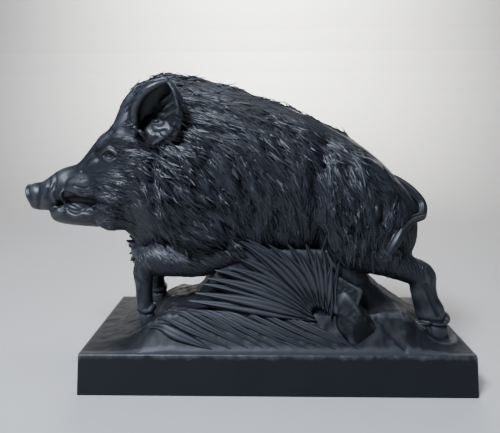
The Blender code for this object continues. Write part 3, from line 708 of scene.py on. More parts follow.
@dataclass(frozen=True)
class Boar:
    """The animal: its flesh, its features and what the carving tool did to them."""

    grain: float = 0.0008
    passes: int = 14
    skin_grain: float = 0.00058
    triangles: int = 190000
    muzzle: Line = (
        (-58.8, 34.7, 28.3, 2.8, 0.50, 0.8, 0.8),
        (-56.4, 34.9, 27.9, 3.2, 0.50, 0.8, 0.8),
        (-54.4, 36.1, 28.0, 3.5, 0.45, 0.8, 0.8),
        (-52.0, 37.8, 28.8, 3.9, 0.40, 0.8, 0.7),
        (-50.0, 38.6, 29.6, 4.1, 0.38, 0.8, 0.7),
        (-47.0, 39.6, 29.9, 4.3, 0.38, 0.8, 0.8),
        (-44.0, 43.0, 29.4, 5.0, 0.38, 0.8, 0.9),
        (-41.2, 46.4, 27.5, 5.9, 0.45, 0.8, 0.9),
        (-39.5, 47.5, 25.5, 6.5, 0.48, 0.8, 1.0),
        (-38.0, 49.4, 24.5, 7.1, 0.48, 0.9, 1.0),
        (-36.4, 53.2, 23.5, 7.7, 0.46, 1.0, 1.0),
        (-34.9, 55.9, 22.5, 8.3, 0.44, 1.1, 1.0),
        (-32.0, 58.0, 21.5, 9.0, 0.42, 1.2, 1.0),
        (-28.0, 59.8, 20.5, 9.4, 0.42, 1.2, 1.0),
    )
    jaw: Line = (
        (-54.2, 28.7, 26.9, 1.7, 0.5, 1.0, 1.0),
        (-53.2, 29.1, 25.3, 2.7, 0.5, 0.9, 1.0),
        (-51.5, 29.2, 24.6, 3.3, 0.7, 0.8, 1.1),
        (-49.0, 28.8, 24.2, 3.6, 0.75, 0.8, 1.1),
        (-46.0, 28.2, 24.0, 3.9, 0.75, 0.8, 1.1),
        (-43.0, 28.6, 23.8, 4.5, 0.75, 0.8, 1.1),
        (-40.0, 29.8, 23.9, 5.4, 0.7, 0.9, 1.1),
        (-38.0, 31.5, 23.9, 6.2, 0.5, 1.0, 1.0),
        (-36.0, 33.0, 23.6, 7.0, 0.5, 1.0, 1.0),
        (-33.0, 35.0, 21.6, 7.8, 0.5, 1.0, 1.0),
    )
    trunk: Line = (
        (-35.6, 52.0, 24.0, 7.6, 0.50, 1.2, 1.0),
        (-33.0, 57.2, 21.4, 9.0, 0.48, 1.3, 1.0),
        (-30.0, 59.2, 18.6, 10.1, 0.46, 1.3, 1.0),
        (-24.7, 60.8, 17.5, 11.4, 0.45, 1.3, 0.9),
        (-20.0, 59.6, 17.2, 12.0, 0.45, 1.3, 0.9),
        (-15.0, 58.6, 17.2, 12.2, 0.45, 1.25, 0.9),
        (-9.0, 57.2, 17.5, 12.0, 0.45, 1.2, 0.9),
        (-4.6, 55.2, 17.6, 11.8, 0.45, 1.15, 0.9),
        (0.0, 53.7, 17.6, 11.6, 0.45, 1.1, 0.9),
        (4.0, 52.4, 17.5, 11.5, 0.45, 1.1, 0.9),
        (8.2, 50.4, 17.5, 11.4, 0.45, 1.05, 0.9),
        (12.5, 48.2, 17.8, 11.4, 0.45, 1.0, 0.9),
        (16.8, 46.0, 18.0, 11.4, 0.45, 1.0, 0.9),
        (21.1, 43.3, 18.2, 11.3, 0.45, 1.0, 0.9),
        (25.5, 39.7, 19.0, 10.6, 0.45, 1.0, 1.0),
        (28.4, 36.6, 20.0, 9.5, 0.45, 1.0, 1.0),
        (31.0, 33.6, 21.5, 7.6, 0.5, 1.0, 1.0),
        (33.0, 30.8, 23.5, 5.0, 0.5, 1.0, 1.0),
        (34.0, 29.0, 25.5, 2.4, 0.5, 1.0, 1.0),
    )
    masses: Sequence[tuple[Row, Row, float]] = (
        ((-18.0, 7.6, 36.0), (8.5, 5.0, 15.0), 12),
        ((-23.0, 7.6, 31.0), (5.2, 4.6, 12.0), -12),
        ((-17.0, 7.8, 25.0), (7.5, 4.4, 7.5), 0),
        ((-30.0, 0.0, 25.0), (5.0, 6.5, 6.5), 0),
        ((-30.5, 0.0, 18.4), (4.4, 5.0, 3.0), 0),
        ((18.5, 6.6, 28.0), (10.5, 5.6, 14.0), -8),
        ((28.0, 4.6, 24.5), (5.0, 4.6, 8.0), 0),
        ((-35.2, 5.4, 33.5), (6.0, 3.6, 7.5), 15),
        ((-37.6, 4.5, 26.8), (4.4, 2.6, 3.0), 0),
        ((-37.4, 4.6, 44.2), (3.8, 1.9, 2.2), 0),
        ((-43.0, 3.9, 34.6), (6.0, 1.6, 2.4), 8),
        ((-52.6, 2.2, 33.0), (2.6, 1.9, 2.5), 0),
        ((-45.0, 0.0, 29.4), (7.0, 2.4, 2.4), 0),
    )
    fore_leg: Line = (
        (-8.0, 6.6, 22.0, 5.2),
        (-16.0, 6.8, 18.0, 4.1),
        (-23.0, 6.8, 17.4, 3.8),
        (-28.2, 6.8, 17.3, 3.6),
        (-30.0, 6.8, 14.8, 2.7),
        (-30.2, 6.8, 11.0, 2.05),
        (-30.2, 6.8, 8.2, 2.0),
        (-30.0, 6.8, 6.4, 2.15),
        (-29.7, 6.8, 4.6, 1.7),
    )
    near_hind_leg: Line = (
        (17.0, 6.8, 22.0, 6.6),
        (25.0, 6.7, 18.4, 4.7),
        (30.0, 6.6, 15.6, 3.3),
        (33.6, 6.6, 14.0, 3.1),
        (34.0, 6.6, 11.0, 3.0),
        (34.7, 6.6, 8.0, 3.0),
        (35.7, 6.9, 5.2, 3.4),
        (35.8, 7.2, 3.4, 2.7),
    )
    far_hind_leg: Line = (
        (14.0, 7.2, 22.0, 6.4),
        (19.0, 8.2, 17.2, 4.6),
        (22.8, 9.0, 13.4, 3.2),
        (21.4, 9.6, 10.2, 2.5),
        (19.4, 10.0, 7.8, 2.4),
        (18.0, 10.2, 5.8, 2.7),
    )
    fore_toes: Line = ((-29.9, 5.9, 2.6, 3.6, 1.25, 1.5), (-29.5, 7.7, 2.6, 3.6, 1.25, 1.5))
    near_hind_toes: Line = ((33.4, 8.9, -0.6, 4.5, 1.9, 1.6), (36.6, 8.3, -0.6, 4.3, 2.5, 2.1))
    far_hind_toes: Line = ((16.4, 9.0, 2.6, 3.6, 1.8, 1.6), (17.0, 11.3, 2.6, 3.6, 1.8, 1.6))
    tusk: Line = (
        (-45.6, 28.2, -0.9, 0.6),
        (-47.3, 28.5, 0.0, 0.75),
        (-49.0, 29.3, 0.35, 0.75),
        (-50.1, 30.8, 0.40, 0.65),
        (-50.1, 32.3, 0.35, 0.45),
        (-49.4, 33.5, 0.25, 0.18),
    )
    lids: Sequence[Line] = (
        (
            (-40.8, 41.3, 0.0, 0.25),
            (-39.4, 42.3, 0.35, 0.42),
            (-37.9, 43.1, 0.50, 0.48),
            (-36.5, 42.6, 0.40, 0.42),
            (-35.6, 41.5, 0.1, 0.25),
        ),
        (
            (-39.6, 41.2, 0.1, 0.25),
            (-38.4, 40.6, 0.30, 0.34),
            (-37.1, 40.4, 0.30, 0.34),
            (-35.9, 41.1, 0.1, 0.22),
        ),
    )
    eye: Row = (-37.8, 41.7)
    eye_radius: float = 1.15
    nose: Row = (-58.7, 0.0, 31.5)
    nose_radii: Row = (0.95, 3.1, 3.05)
    nose_tilt: float = -20
    nostril: Row = (-59.6, 1.25, 31.7)
    nostril_radius: float = 0.7
    nostril_depth: float = 0.9
    fore_dewclaw: Line = ((-28.4, 6.8, 6.4), (0.9, 1.6, 1.1))
    near_hind_dewclaw: Line = ((39.0, -6.6, 4.2), (1.1, 2.4, 1.2))
    leg_flattening: float = 0.82
    ear: Ear = Ear()
    broad_strokes: Sequence[Stroke] = (
        Stroke(((-56.4, 34.6), (-55.9, 31.6), (-56.4, 28.6)), 0.55, 0.35),
        Stroke(((-51.0, 29.9), (-49.4, 30.5), (-47.0, 30.9), (-43.8, 30.5), (-38.6, 30.6)), 0.8, 0.85),
        Stroke(
            ((-48.3, 33.7), (-46.6, 33.2), (-44.9, 32.4), (-41.5, 32.9), (-38.1, 32.1), (-35.9, 30.9)),
            0.7,
            -0.6,
        ),
        Stroke(((-48.6, 36.3), (-46.2, 36.6), (-43.4, 37.8), (-41.2, 39.6)), 1.2, 0.45),
        Stroke(((-39.2, 41.8), (-36.9, 41.6)), 1.5, 0.75, 2.0),
        Stroke(((-41.4, 42.6), (-41.0, 41.0)), 0.8, 0.6, 2.0),
        Stroke(((-40.9, 43.0), (-39.0, 44.8), (-36.5, 45.8), (-34.0, 45.4), (-32.6, 44.6)), 0.95, -0.75, 2.0),
        Stroke(((-36.0, 47.8), (-34.2, 50.6), (-32.8, 54.0)), 1.1, -0.4, 2.0),
        Stroke(((-32.6, 43.4), (-31.0, 43.2), (-28.6, 42.6)), 0.9, 0.7, 3.0),
        Stroke(((-30.4, 36.4), (-31.0, 34.6), (-30.4, 32.2)), 1.4, 0.9, 3.0),
        Stroke(((-35.0, 29.6), (-34.4, 27.4), (-33.0, 25.6)), 1.1, 0.5, 3.0),
        Stroke(
            ((-26.2, 43.4), (-27.2, 38.6), (-27.2, 33.6), (-26.4, 28.8), (-24.2, 24.8), (-21.2, 22.6)),
            1.0,
            1.5,
            4.0,
        ),
        Stroke(((-23.9, 42.0), (-24.6, 38.0), (-24.2, 33.0), (-23.2, 29.2), (-21.0, 25.8)), 1.5, -0.7, 4.0),
        Stroke(((-20.0, 45.4), (-24.0, 43.0), (-28.2, 43.4)), 1.0, 0.9, 4.0),
        Stroke(((-15.1, 40.6), (-17.0, 38.0), (-16.9, 34.8)), 1.1, 1.1, 4.0),
        Stroke(((-13.7, 37.4), (-12.9, 33.8), (-13.6, 30.6)), 1.1, 0.8, 4.0),
        Stroke(((-8.0, 37.4), (-7.2, 33.6), (-5.2, 30.4), (-5.6, 27.0)), 1.4, 0.8, 4.0),
        Stroke(((-1.4, 40.0), (-0.6, 36.0), (1.0, 31.4), (0.8, 27.0)), 1.3, 0.6, 4.0),
        Stroke(((-25.0, 22.2), (-20.5, 19.8), (-14.0, 20.6), (-9.0, 23.0)), 1.0, 1.3, 4.0),
        Stroke(((11.4, 44.6), (9.8, 38.0), (8.9, 30.0), (9.8, 21.0)), 2.2, 1.5, 3.0),
        Stroke(((14.6, 30.0), (15.6, 26.6), (17.8, 25.0)), 1.2, 0.9, 4.0),
        Stroke(((16.6, 40.0), (16.8, 36.4), (19.0, 33.0)), 1.2, 0.6, 4.0),
        Stroke(((22.4, 36.0), (22.6, 31.6), (23.4, 27.0)), 1.3, 0.7, 4.0),
        Stroke(((22.0, 24.0), (20.6, 21.0), (21.6, 18.0)), 1.2, 0.8, 4.0),
        Stroke(((27.6, 23.4), (28.6, 20.6), (28.2, 18.0)), 0.9, 0.5, 4.0),
    )
    fine_strokes: Sequence[Stroke] = (
        Stroke(
            ((-52.6, 28.8), (-50.1, 29.1), (-48.5, 27.7), (-46.5, 27.1), (-44.5, 28.1), (-42.4, 29.4)),
            0.42,
            -0.55,
        ),
        Stroke(((-42.4, 29.4), (-40.5, 29.7), (-38.2, 29.1), (-36.6, 27.8)), 0.5, -0.4),
        Stroke(((-53.6, 36.2), (-53.2, 34.0), (-54.0, 31.2)), 0.35, 0.4),
        Stroke(((-52.1, 37.2), (-51.6, 35.2), (-52.4, 33.2)), 0.32, 0.35),
        Stroke(((-52.4, 33.8), (-52.1, 31.6), (-51.8, 30.2)), 0.42, -0.45),
        Stroke(((-52.8, 29.6), (-51.6, 29.9), (-50.6, 30.1)), 0.35, 0.35),
        Stroke(((-46.6, 34.6), (-44.4, 34.0), (-41.6, 34.4), (-39.0, 33.6)), 0.3, 0.3),
        Stroke(((-45.2, 38.0), (-43.4, 40.0), (-41.4, 41.2)), 0.35, 0.35),
        Stroke(((-42.2, 44.0), (-40.0, 46.6), (-37.6, 47.6)), 0.4, 0.3, 2.0),
        Stroke(((32.3, 3.9), (35.0, 3.2), (38.8, 3.0)), 0.28, 0.5, 3.0, (-1,)),
        Stroke(((34.2, 3.0), (34.0, 0.8), (33.6, -0.4)), 0.28, 0.5, 3.0, (-1,)),
        Stroke(((-31.6, 5.6), (-29.9, 5.2), (-28.2, 5.4)), 0.28, 0.4, 3.0),
        Stroke(((-31.9, 14.0), (-30.4, 12.2), (-30.6, 8.6)), 0.5, 0.3, 3.0),
        Stroke(((33.8, 12.2), (35.4, 8.6), (36.4, 6.0)), 0.5, 0.35, 3.0, (-1,)),
    )

    def add_carcass(self, bm: bmesh.types.BMesh, stations: Line, count: int = 72, around: int = 48) -> None:
        """Adds a body of upright sections, each with its own top, bottom, width and shape."""
        turn = np.linspace(0, 2 * np.pi, around, endpoint=False)
        rings = []
        for x, top, bottom, half, share, roof, keel in smooth_line(stations, count):
            wide = bottom + (top - bottom) * share
            ring = []
            for angle in turn:
                c, s = np.cos(angle), np.sin(angle)
                y = half * np.sign(c) * abs(c) ** (roof if s > 0 else keel)
                ring.append(place(x, y, wide + s * (top - wide if s > 0 else wide - bottom)))
            rings.append(ring)
        add_loft(bm, rings)

    def back_height(self, x: np.ndarray | float) -> np.ndarray:
        """Height of the back above the plinth's top at x."""
        return np.interp(x, [row[0] for row in self.trunk], [row[1] for row in self.trunk])

    def add_toe(self, bm: bmesh.types.BMesh, toe: Row, side: int) -> None:
        """Adds one half of a cloven hoof, a short flattened cone standing on its sole."""
        x, y, z, height, sole, crown = toe
        matrix = Matrix.Translation(place(x, side * y, z + height / 2)) @ Matrix.Diagonal((1.15, 0.72, 1, 1))
        bmesh.ops.create_cone(
            bm,
            cap_ends=True,
            segments=24,
            radius1=sole * UNIT,
            radius2=crown * UNIT,
            depth=height * UNIT,
            matrix=matrix,
        )

    def flesh(self) -> bpy.types.Mesh:
        """Flesh, fur masses and legs, blended into each other and carved."""
        bm = bmesh.new()
        for stations in (self.muzzle, self.jaw, self.trunk):
            self.add_carcass(bm, stations)
        for (x, y, z), radii, lean in self.masses:
            for side in (-1, 1) if y else (1,):
                add_ellipsoid(bm, (x, side * y, z), radii, lean)
        for side in (-1, 1):
            add_limb(bm, self.fore_leg, side, self.leg_flattening)
        add_limb(bm, self.near_hind_leg, -1, self.leg_flattening)
        add_limb(bm, self.far_hind_leg, 1, self.leg_flattening)
        skin = remeshed(bm, self.grain, self.passes, "flesh")
        figure, facing = in_units(read_points(skin)), sideways(skin)
        offset = np.zeros(len(figure))
        for stroke in self.broad_strokes:
            stroke.cut(figure, facing, offset)
        for tufts in TUFT_LAYERS:
            tufts.raise_on(self, figure, facing, offset)
        work_surface(skin, offset)
        return skin

    def skin(self) -> bpy.types.Mesh:
        """The whole animal as one skin, with its features and fine strokes."""
        bm = bmesh.new()
        flesh = self.flesh()
        surface = Surface(flesh)
        bm.from_mesh(flesh)
        bpy.data.meshes.remove(flesh)
        add_ellipsoid(bm, self.nose, self.nose_radii, self.nose_tilt)
        BreastTuft().add(bm)
        Mane().add(bm, self)
        for side in (-1, 1):
            add_ellipsoid(bm, surface.at(*self.eye, side, 0.45 - self.eye_radius), (self.eye_radius,) * 3)
            for path in (*self.lids, self.tusk):
                joints = [(*surface.at(x, z, side, lift), radius) for x, z, lift, radius in path]
                add_limb(bm, joints, 1, around=12)
            self.ear.add(bm, side)
            Locks().add(bm, surface, side)
            (x, y, z), radii = self.fore_dewclaw
            add_ellipsoid(bm, (x, side * y, z), radii)
            for toe in self.fore_toes:
                self.add_toe(bm, toe, side)
        add_ellipsoid(bm, *self.near_hind_dewclaw)
        for toe in self.near_hind_toes:
            self.add_toe(bm, toe, -1)
        for toe in self.far_hind_toes:
            self.add_toe(bm, toe, 1)
        skin = remeshed(bm, self.skin_grain, 1, "boar_skin")
        figure, facing = in_units(read_points(skin)), sideways(skin)
        offset = np.zeros(len(figure))
        for stroke in self.fine_strokes:
            stroke.cut(figure, facing, offset)
        for side in (-1, 1):
            hole = (self.nostril[0], side * self.nostril[1], self.nostril[2])
            away = np.linalg.norm(figure - hole, axis=1) / self.nostril_radius
            offset -= self.nostril_depth * np.exp(-(away**2))
        work_surface(skin, offset)
        return thinned(skin, self.triangles)


@dataclass(frozen=True)
class Combing:
    """Which way the hair lies: guide hairs seen from the side, which the rest follows.

    Each guide is x, z, degrees below the horizontal towards the tail, and the hair's length.
    """

    guides: Line = (
        (-56, 32, 0, 0.5),
        (-52, 36, -25, 0.7),
        (-47, 38, -20, 0.9),
        (-47, 33, 0, 1.0),
        (-48, 26, 5, 0.8),
        (-42, 26, 0, 1.0),
        (-42, 35, 0, 1.2),
        (-43, 41, -35, 1.0),
        (-38, 48, -60, 1.4),
        (-37, 38, 5, 1.6),
        (-36, 34, 10, 2.0),
        (-35, 54, -50, 1.8),
        (-33, 40, 15, 1.8),
        (-33, 31, 40, 2.2),
        (-34, 25, 35, 2.0),
        (-31, 58, -20, 2.2),
        (-32, 45, 10, 1.4),
        (-28, 42, 15, 1.8),
        (-27, 37, 50, 2.6),
        (-26, 30, 58, 2.8),
        (-24, 25, 50, 2.8),
        (-19, 21, 25, 2.6),
        (-22, 40, 40, 2.4),
        (-18, 45, 30, 2.4),
        (-18, 38, 62, 2.3),
        (-18, 31, 45, 2.4),
        (-13, 42, 45, 2.4),
        (-11, 35, 58, 2.3),
        (-8, 28, 65, 2.2),
        (-22, 60, 8, 2.8),
        (-15, 53, 18, 2.6),
        (-5, 50, 28, 2.5),
        (-5, 56, 14, 2.8),
        (0, 42, 52, 2.3),
        (0, 33, 72, 2.2),
        (-1, 24, 75, 2.0),
        (8, 46, 38, 2.4),
        (8, 50, 22, 2.6),
        (8, 38, 68, 2.2),
        (8, 28, 82, 2.1),
        (16, 44, 35, 2.4),
        (16, 37, 72, 2.2),
        (14, 28, 72, 2.2),
        (20, 30, 85, 2.2),
        (20, 24, 92, 2.1),
        (22, 40, 42, 2.4),
        (26, 34, 62, 2.2),
        (26, 28, 100, 2.0),
        (29, 33, 52, 2.0),
        (24, 20, 80, 1.6),
        (30, 22, 72, 1.6),
        (32, 27, 80, 1.6),
        (-14, 18, 30, 1.6),
        (-22, 18, 35, 1.4),
        (-28, 18, 55, 1.2),
        (-30, 11, 88, 0.9),
        (33, 12, 70, 1.0),
        (36, 6, 80, 0.8),
    )
    sharpness: float = 3.0

    def at(self, figure: np.ndarray) -> tuple[np.ndarray, np.ndarray]:
        """Direction and length of the hair.

        Args:
            figure: points in the tables' units.

        Returns:
            Angles below the horizontal in radians, and lengths in the tables' units.
        """
        guides = np.array(self.guides, float)
        away = ((figure[:, None, (0, 2)] - guides[None, :, :2]) ** 2).sum(2) + 0.5
        weight = away ** (-self.sharpness / 2)
        weight /= weight.sum(1, keepdims=True)
        angle = np.radians(guides[:, 2])
        level, down = weight @ np.cos(angle), weight @ np.sin(angle)
        return np.arctan2(down, level), weight @ guides[:, 3]


COMBING = Combing()


@dataclass(frozen=True)
class Tufts:
    """A layer of overlapping tufts, wide at the root, and pointed and proud at the tip."""

    rows: int
    columns: int
    length: float
    half_width: float
    height: float
    field_x: Row
    field_drop: Row
    sway: float
    seed: int
    lowest: float = 19

    def raise_on(self, boar: Boar, figure: np.ndarray, facing: np.ndarray, offset: np.ndarray) -> None:
        """Adds the tufts to offset.

        Args:
            boar: gives the height of the back.
            figure: the skin's points, in the tables' units.
            facing: how far each point faces sideways.
            offset: how far each point moves out, in the tables' units.
        """
        chance = np.random.default_rng(self.seed)
        highest = np.zeros(len(figure))
        for row in range(self.rows):
            drop = self.field_drop[0] + (self.field_drop[1] - self.field_drop[0]) * (row + 0.5) / self.rows
            for column in range(self.columns):
                share = (column + 0.5 * (row % 2)) / self.columns
                x = self.field_x[0] + (self.field_x[1] - self.field_x[0]) * share
                x += chance.uniform(-0.3, 0.3) * self.length * 0.5
                z = float(boar.back_height(x)) - drop
                angle, _ = COMBING.at(np.array(((x, 0, z),)))
                angle = angle[0] + self.sway * chance.uniform(-1, 1)
                near = (np.abs(figure[:, 0] - x) < self.length) & (np.abs(figure[:, 2] - z) < self.length)
                near &= (np.abs(figure[:, 1]) > 3) & (figure[:, 2] > self.lowest - 2)
                dx, dz = figure[near, 0] - x, figure[near, 2] - z
                along = np.clip((dx * np.cos(angle) - dz * np.sin(angle)) / self.length + 0.5, 0, 1)
                across = (dx * np.sin(angle) + dz * np.cos(angle)) / self.half_width
                width = np.clip(1 - along**1.7, 0, 1) ** 0.8 * (0.75 + 0.25 * ramp(along, 0, 0.3))
                crown = np.sqrt(np.clip(1 - (across / np.maximum(width, 0.01)) ** 2, 0, 1))
                rise = ramp(along, 0.0, 0.25) * (0.35 + 0.65 * along)
                highest[near] = np.maximum(highest[near], self.height * rise * crown)
        offset += highest * facing * ramp(figure[:, 2], self.lowest - 2, self.lowest + 1)


TUFT_LAYERS = (
    Tufts(8, 12, 7.6, 2.1, 0.85, (-27.0, 29.0), (3.0, 36.0), 0.35, 3),
    Tufts(15, 26, 4.2, 1.05, 0.62, (-28.0, 31.0), (2.0, 38.0), 0.5, 5),
)


class Flank(Enum):
    """The two halves of the coat, each a piece of its own with its name and its side."""

    NEAR = ("coat_near_flank", -1)
    FAR = ("coat_far_flank", 1)

    @property
    def mask(self) -> str:
        """The name under which the skin keeps where this half grows."""
        return f"{self.name.lower()}_coat"


@dataclass
class Coat:
    """Strands of hair that follow the combing, laid over the skin by a node tree."""

    spacing: float = 0.00168
    width: float = 0.00068
    height: float = 0.00025
    grip: float = 0.0011
    ruffle: float = 0.55
    ruffle_scale: float = 130.0
    bare: Sequence[tuple[Row, float]] = (
        ((-38.4, 6.8, 41.8), 3.7),
        ((-59.0, 0.0, 31.5), 4.2),
        ((-50.0, 5.0, 31.0), 2.4),
        ((-47.0, 4.4, 28.4), 2.2),
        ((-25.5, 12.0, 51.0), 6.2),
        ((-27.8, 11.0, 47.4), 3.6),
        ((-30.0, 6.8, 5.0), 5.6),
        ((36.4, 6.6, 2.0), 8.0),
        ((18.0, 10.5, 4.0), 6.0),
        ((-24.0, 12.0, 56.0), 3.6),
        ((-34.5, 6.5, 50.5), 5.0),
        ((-33.5, 2.0, 18.5), 4.6),
    )
    tree: bpy.types.NodeTree = field(init=False)

    def __post_init__(self) -> None:
        """Builds the node tree."""
        self.tree = self.strand_tree()

    def strand_tree(self) -> bpy.types.NodeTree:
        """A tree that lays strands on a skin where a mask lets them, along its flow."""
        tree = bpy.data.node_groups.new("combed_strands", "GeometryNodeTree")
        sockets = (
            ("Skin", "INPUT", "NodeSocketGeometry"),
            ("Mask", "INPUT", "NodeSocketString"),
            ("Spacing", "INPUT", "NodeSocketFloat"),
            ("Width", "INPUT", "NodeSocketFloat"),
            ("Height", "INPUT", "NodeSocketFloat"),
            ("Ruffle", "INPUT", "NodeSocketFloat"),
            ("Ruffle Scale", "INPUT", "NodeSocketFloat"),
            ("Grip", "INPUT", "NodeSocketFloat"),
            ("Seed", "INPUT", "NodeSocketInt"),
            ("Finish", "INPUT", "NodeSocketMaterial"),
            ("Strands", "OUTPUT", "NodeSocketGeometry"),
        )
        for name, way, kind in sockets:
            tree.interface.new_socket(name, in_out=way, socket_type=kind)
        w = Wiring(tree)
        given = w.add("NodeGroupInput").outputs
        points = w.add(
            "GeometryNodeDistributePointsOnFaces",
            {"distribute_method": "POISSON"},
            Mesh=given["Skin"],
            Distance_Min=given["Spacing"],
            Density_Max=4.0e6,
            Density_Factor=w.named(given["Mask"]),
            Seed=given["Seed"],
        )
        waves = w.add("ShaderNodeTexNoise", Scale=given["Ruffle Scale"], Detail=1.0)
        jitter = w.add("FunctionNodeRandomValue", {"data_type": "FLOAT"}, Seed=given["Seed"])
        stray = w.math("MULTIPLY", w.math("SUBTRACT", w.float_output(jitter), 0.5), 0.5)
        turn = w.math("MULTIPLY_ADD", w.math("SUBTRACT", waves.outputs[0], 0.5), 2.6, stray)
        turned = w.add(
            "ShaderNodeVectorRotate",
            {"rotation_type": "AXIS_ANGLE"},
            Vector=w.named("flow", VECTOR),
            Axis=points.outputs["Normal"],
            Angle=w.math("MULTIPLY", turn, given["Ruffle"]),
        )
        aim = w.add(
            "FunctionNodeAxesToRotation",
            {"primary_axis": "Z", "secondary_axis": "X"},
            Primary_Axis=points.outputs["Normal"],
            Secondary_Axis=turned.outputs[0],
        )
        vary = w.add("FunctionNodeRandomValue", {"data_type": "FLOAT"}, Min=0.7, Max=1.3, Seed=7)
        plump = w.add("FunctionNodeRandomValue", {"data_type": "FLOAT"}, Min=0.75, Max=1.3, Seed=11)
        length = w.named("hair_length")
        slim = w.math("MINIMUM", w.math("MULTIPLY_ADD", length, 180.0, 0.25), 1.0)
        size = w.add(
            "ShaderNodeCombineXYZ",
            X=w.math("MULTIPLY", length, w.float_output(vary)),
            Y=w.math("MULTIPLY", given["Width"], w.math("MULTIPLY", w.float_output(plump), slim)),
            Z=w.math("MULTIPLY", given["Height"], w.math("MULTIPLY", w.float_output(plump), slim)),
        )
        strand = self.strand(w)
        where = w.add("GeometryNodeInputPosition").outputs[0]
        rooted = w.store(points.outputs["Points"], "root", where, VECTOR)
        raised = w.store(rooted, "up", points.outputs["Normal"], VECTOR)
        laid = w.add(
            "GeometryNodeInstanceOnPoints",
            Points=raised,
            Instance=strand,
            Rotation=aim.outputs[0],
            Scale=size.outputs[0],
        )
        real = w.add("GeometryNodeRealizeInstances", Geometry=laid.outputs[0])
        pressed = self.press(w, real.outputs[0], given)
        dressed = w.add("GeometryNodeSetMaterial", Geometry=pressed, Material=given["Finish"])
        w.add("NodeGroupOutput", Strands=dressed.outputs[0])
        return tree

    def press(
        self, w: Wiring, strands: bpy.types.NodeSocket, given: bpy.types.bpy_prop_collection
    ) -> bpy.types.NodeSocket:
        """Bends laid strands down on the skin, as far as their grip reaches, each point at its own height."""
        where = w.add("GeometryNodeInputPosition").outputs[0]
        up = w.named("up", VECTOR)
        lift = w.vector("DOT_PRODUCT", w.vector("SUBTRACT", where, w.named("root", VECTOR)), up)
        flat = w.vector("SUBTRACT", where, w.scaled(up, lift))
        under = []
        for kind in ("GeometryNodeInputPosition", "GeometryNodeInputNormal"):
            nearest = w.add(
                "GeometryNodeSampleNearestSurface",
                {"data_type": VECTOR},
                Mesh=given["Skin"],
                Value=w.add(kind).outputs[0],
                Sample_Position=flat,
            )
            under.append(next(s for s in nearest.outputs if s.enabled and s.name == "Value"))
        bend = w.vector("SUBTRACT", under[0], flat)
        reach = w.math("MAXIMUM", w.vector("LENGTH", bend), 1e-7)
        held = w.scaled(bend, w.math("MINIMUM", w.math("DIVIDE", given["Grip"], reach), 1.0))
        pressed = w.vector("ADD", w.vector("ADD", flat, held), w.scaled(under[1], lift))
        return w.add("GeometryNodeSetPosition", Geometry=strands, Position=pressed).outputs[0]

    def strand(self, w: Wiring) -> bpy.types.NodeSocket:
        """One strand, a unit long, wide and high, its root sunk and its tip pointed."""
        spine = w.add(
            "GeometryNodeCurveQuadraticBezier",
            Resolution=4,
            Start=(-0.5, 0.0, -0.5),
            Middle=(0.1, 0.0, 1.3),
            End=(0.55, 0.0, -0.1),
        )
        share = w.add("GeometryNodeSplineParameter").outputs["Factor"]
        swell = w.math("POWER", w.math("SINE", w.math("MULTIPLY_ADD", share, 2.9, 0.12)), 0.7)
        shaped = w.add("GeometryNodeSetCurveRadius", Curve=spine.outputs[0], Radius=swell)
        ring = w.add("GeometryNodeCurvePrimitiveCircle", Resolution=4, Radius=1.0)
        tube = w.add(
            "GeometryNodeCurveToMesh", Curve=shaped.outputs[0], Profile_Curve=ring.outputs[0], Fill_Caps=True
        )
        height = w.add("ShaderNodeSeparateXYZ", Vector=w.add("GeometryNodeInputPosition").outputs[0])
        relief = w.math("MULTIPLY_ADD", height.outputs["Z"], 0.5, -0.1)
        kept = w.store(tube.outputs[0], "relief", relief, "FLOAT")
        smooth = w.add("GeometryNodeSetShadeSmooth", Geometry=kept)
        return smooth.outputs[0]

    def comb(self, skin: bpy.types.Mesh) -> None:
        """Stores on the skin which way its hair lies, how long it is and where it grows."""
        points, normals = read_points(skin), read_normals(skin)
        figure = in_units(points)
        angle, length = COMBING.at(figure)
        flow = np.stack((np.cos(angle), np.zeros(len(angle)), -np.sin(angle)), 1)
        flow -= (flow * normals).sum(1, keepdims=True) * normals
        flow /= np.maximum(np.linalg.norm(flow, axis=1, keepdims=True), 1e-6)
        grows = np.ones(len(points))
        outer = figure * (1, 0, 1) + np.abs(figure) * (0, 1, 0)
        for centre, radius in self.bare:
            away = np.linalg.norm(outer - centre, axis=1)
            grows *= ramp(away, radius * 0.8, radius * 1.1)
        grows *= ramp(figure[:, 2], 12.0, 17.5) * ramp(figure[:, 0], -47.0, -40.0)
        grows *= ramp(np.abs(normals[:, 1]), 0.30, 0.50)
        tail = smooth_line([(x, -y, z) for x, y, z, _ in Tail().path], 40)
        grows *= ramp(distance_to_line(figure, tail), 1.2, 2.2)
        kept = [("flow", VECTOR, "vector", flow), ("hair_length", "FLOAT", "value", length * UNIT)]
        for flank in Flank:
            here = np.sign(figure[:, 1]) == flank.value[1]
            kept.append((flank.mask, "FLOAT", "value", grows * here))
        for name, kind, member, values in kept:
            attribute = skin.attributes.new(name, kind, "POINT")
            attribute.data.foreach_set(member, np.asarray(values, np.float32).ravel())

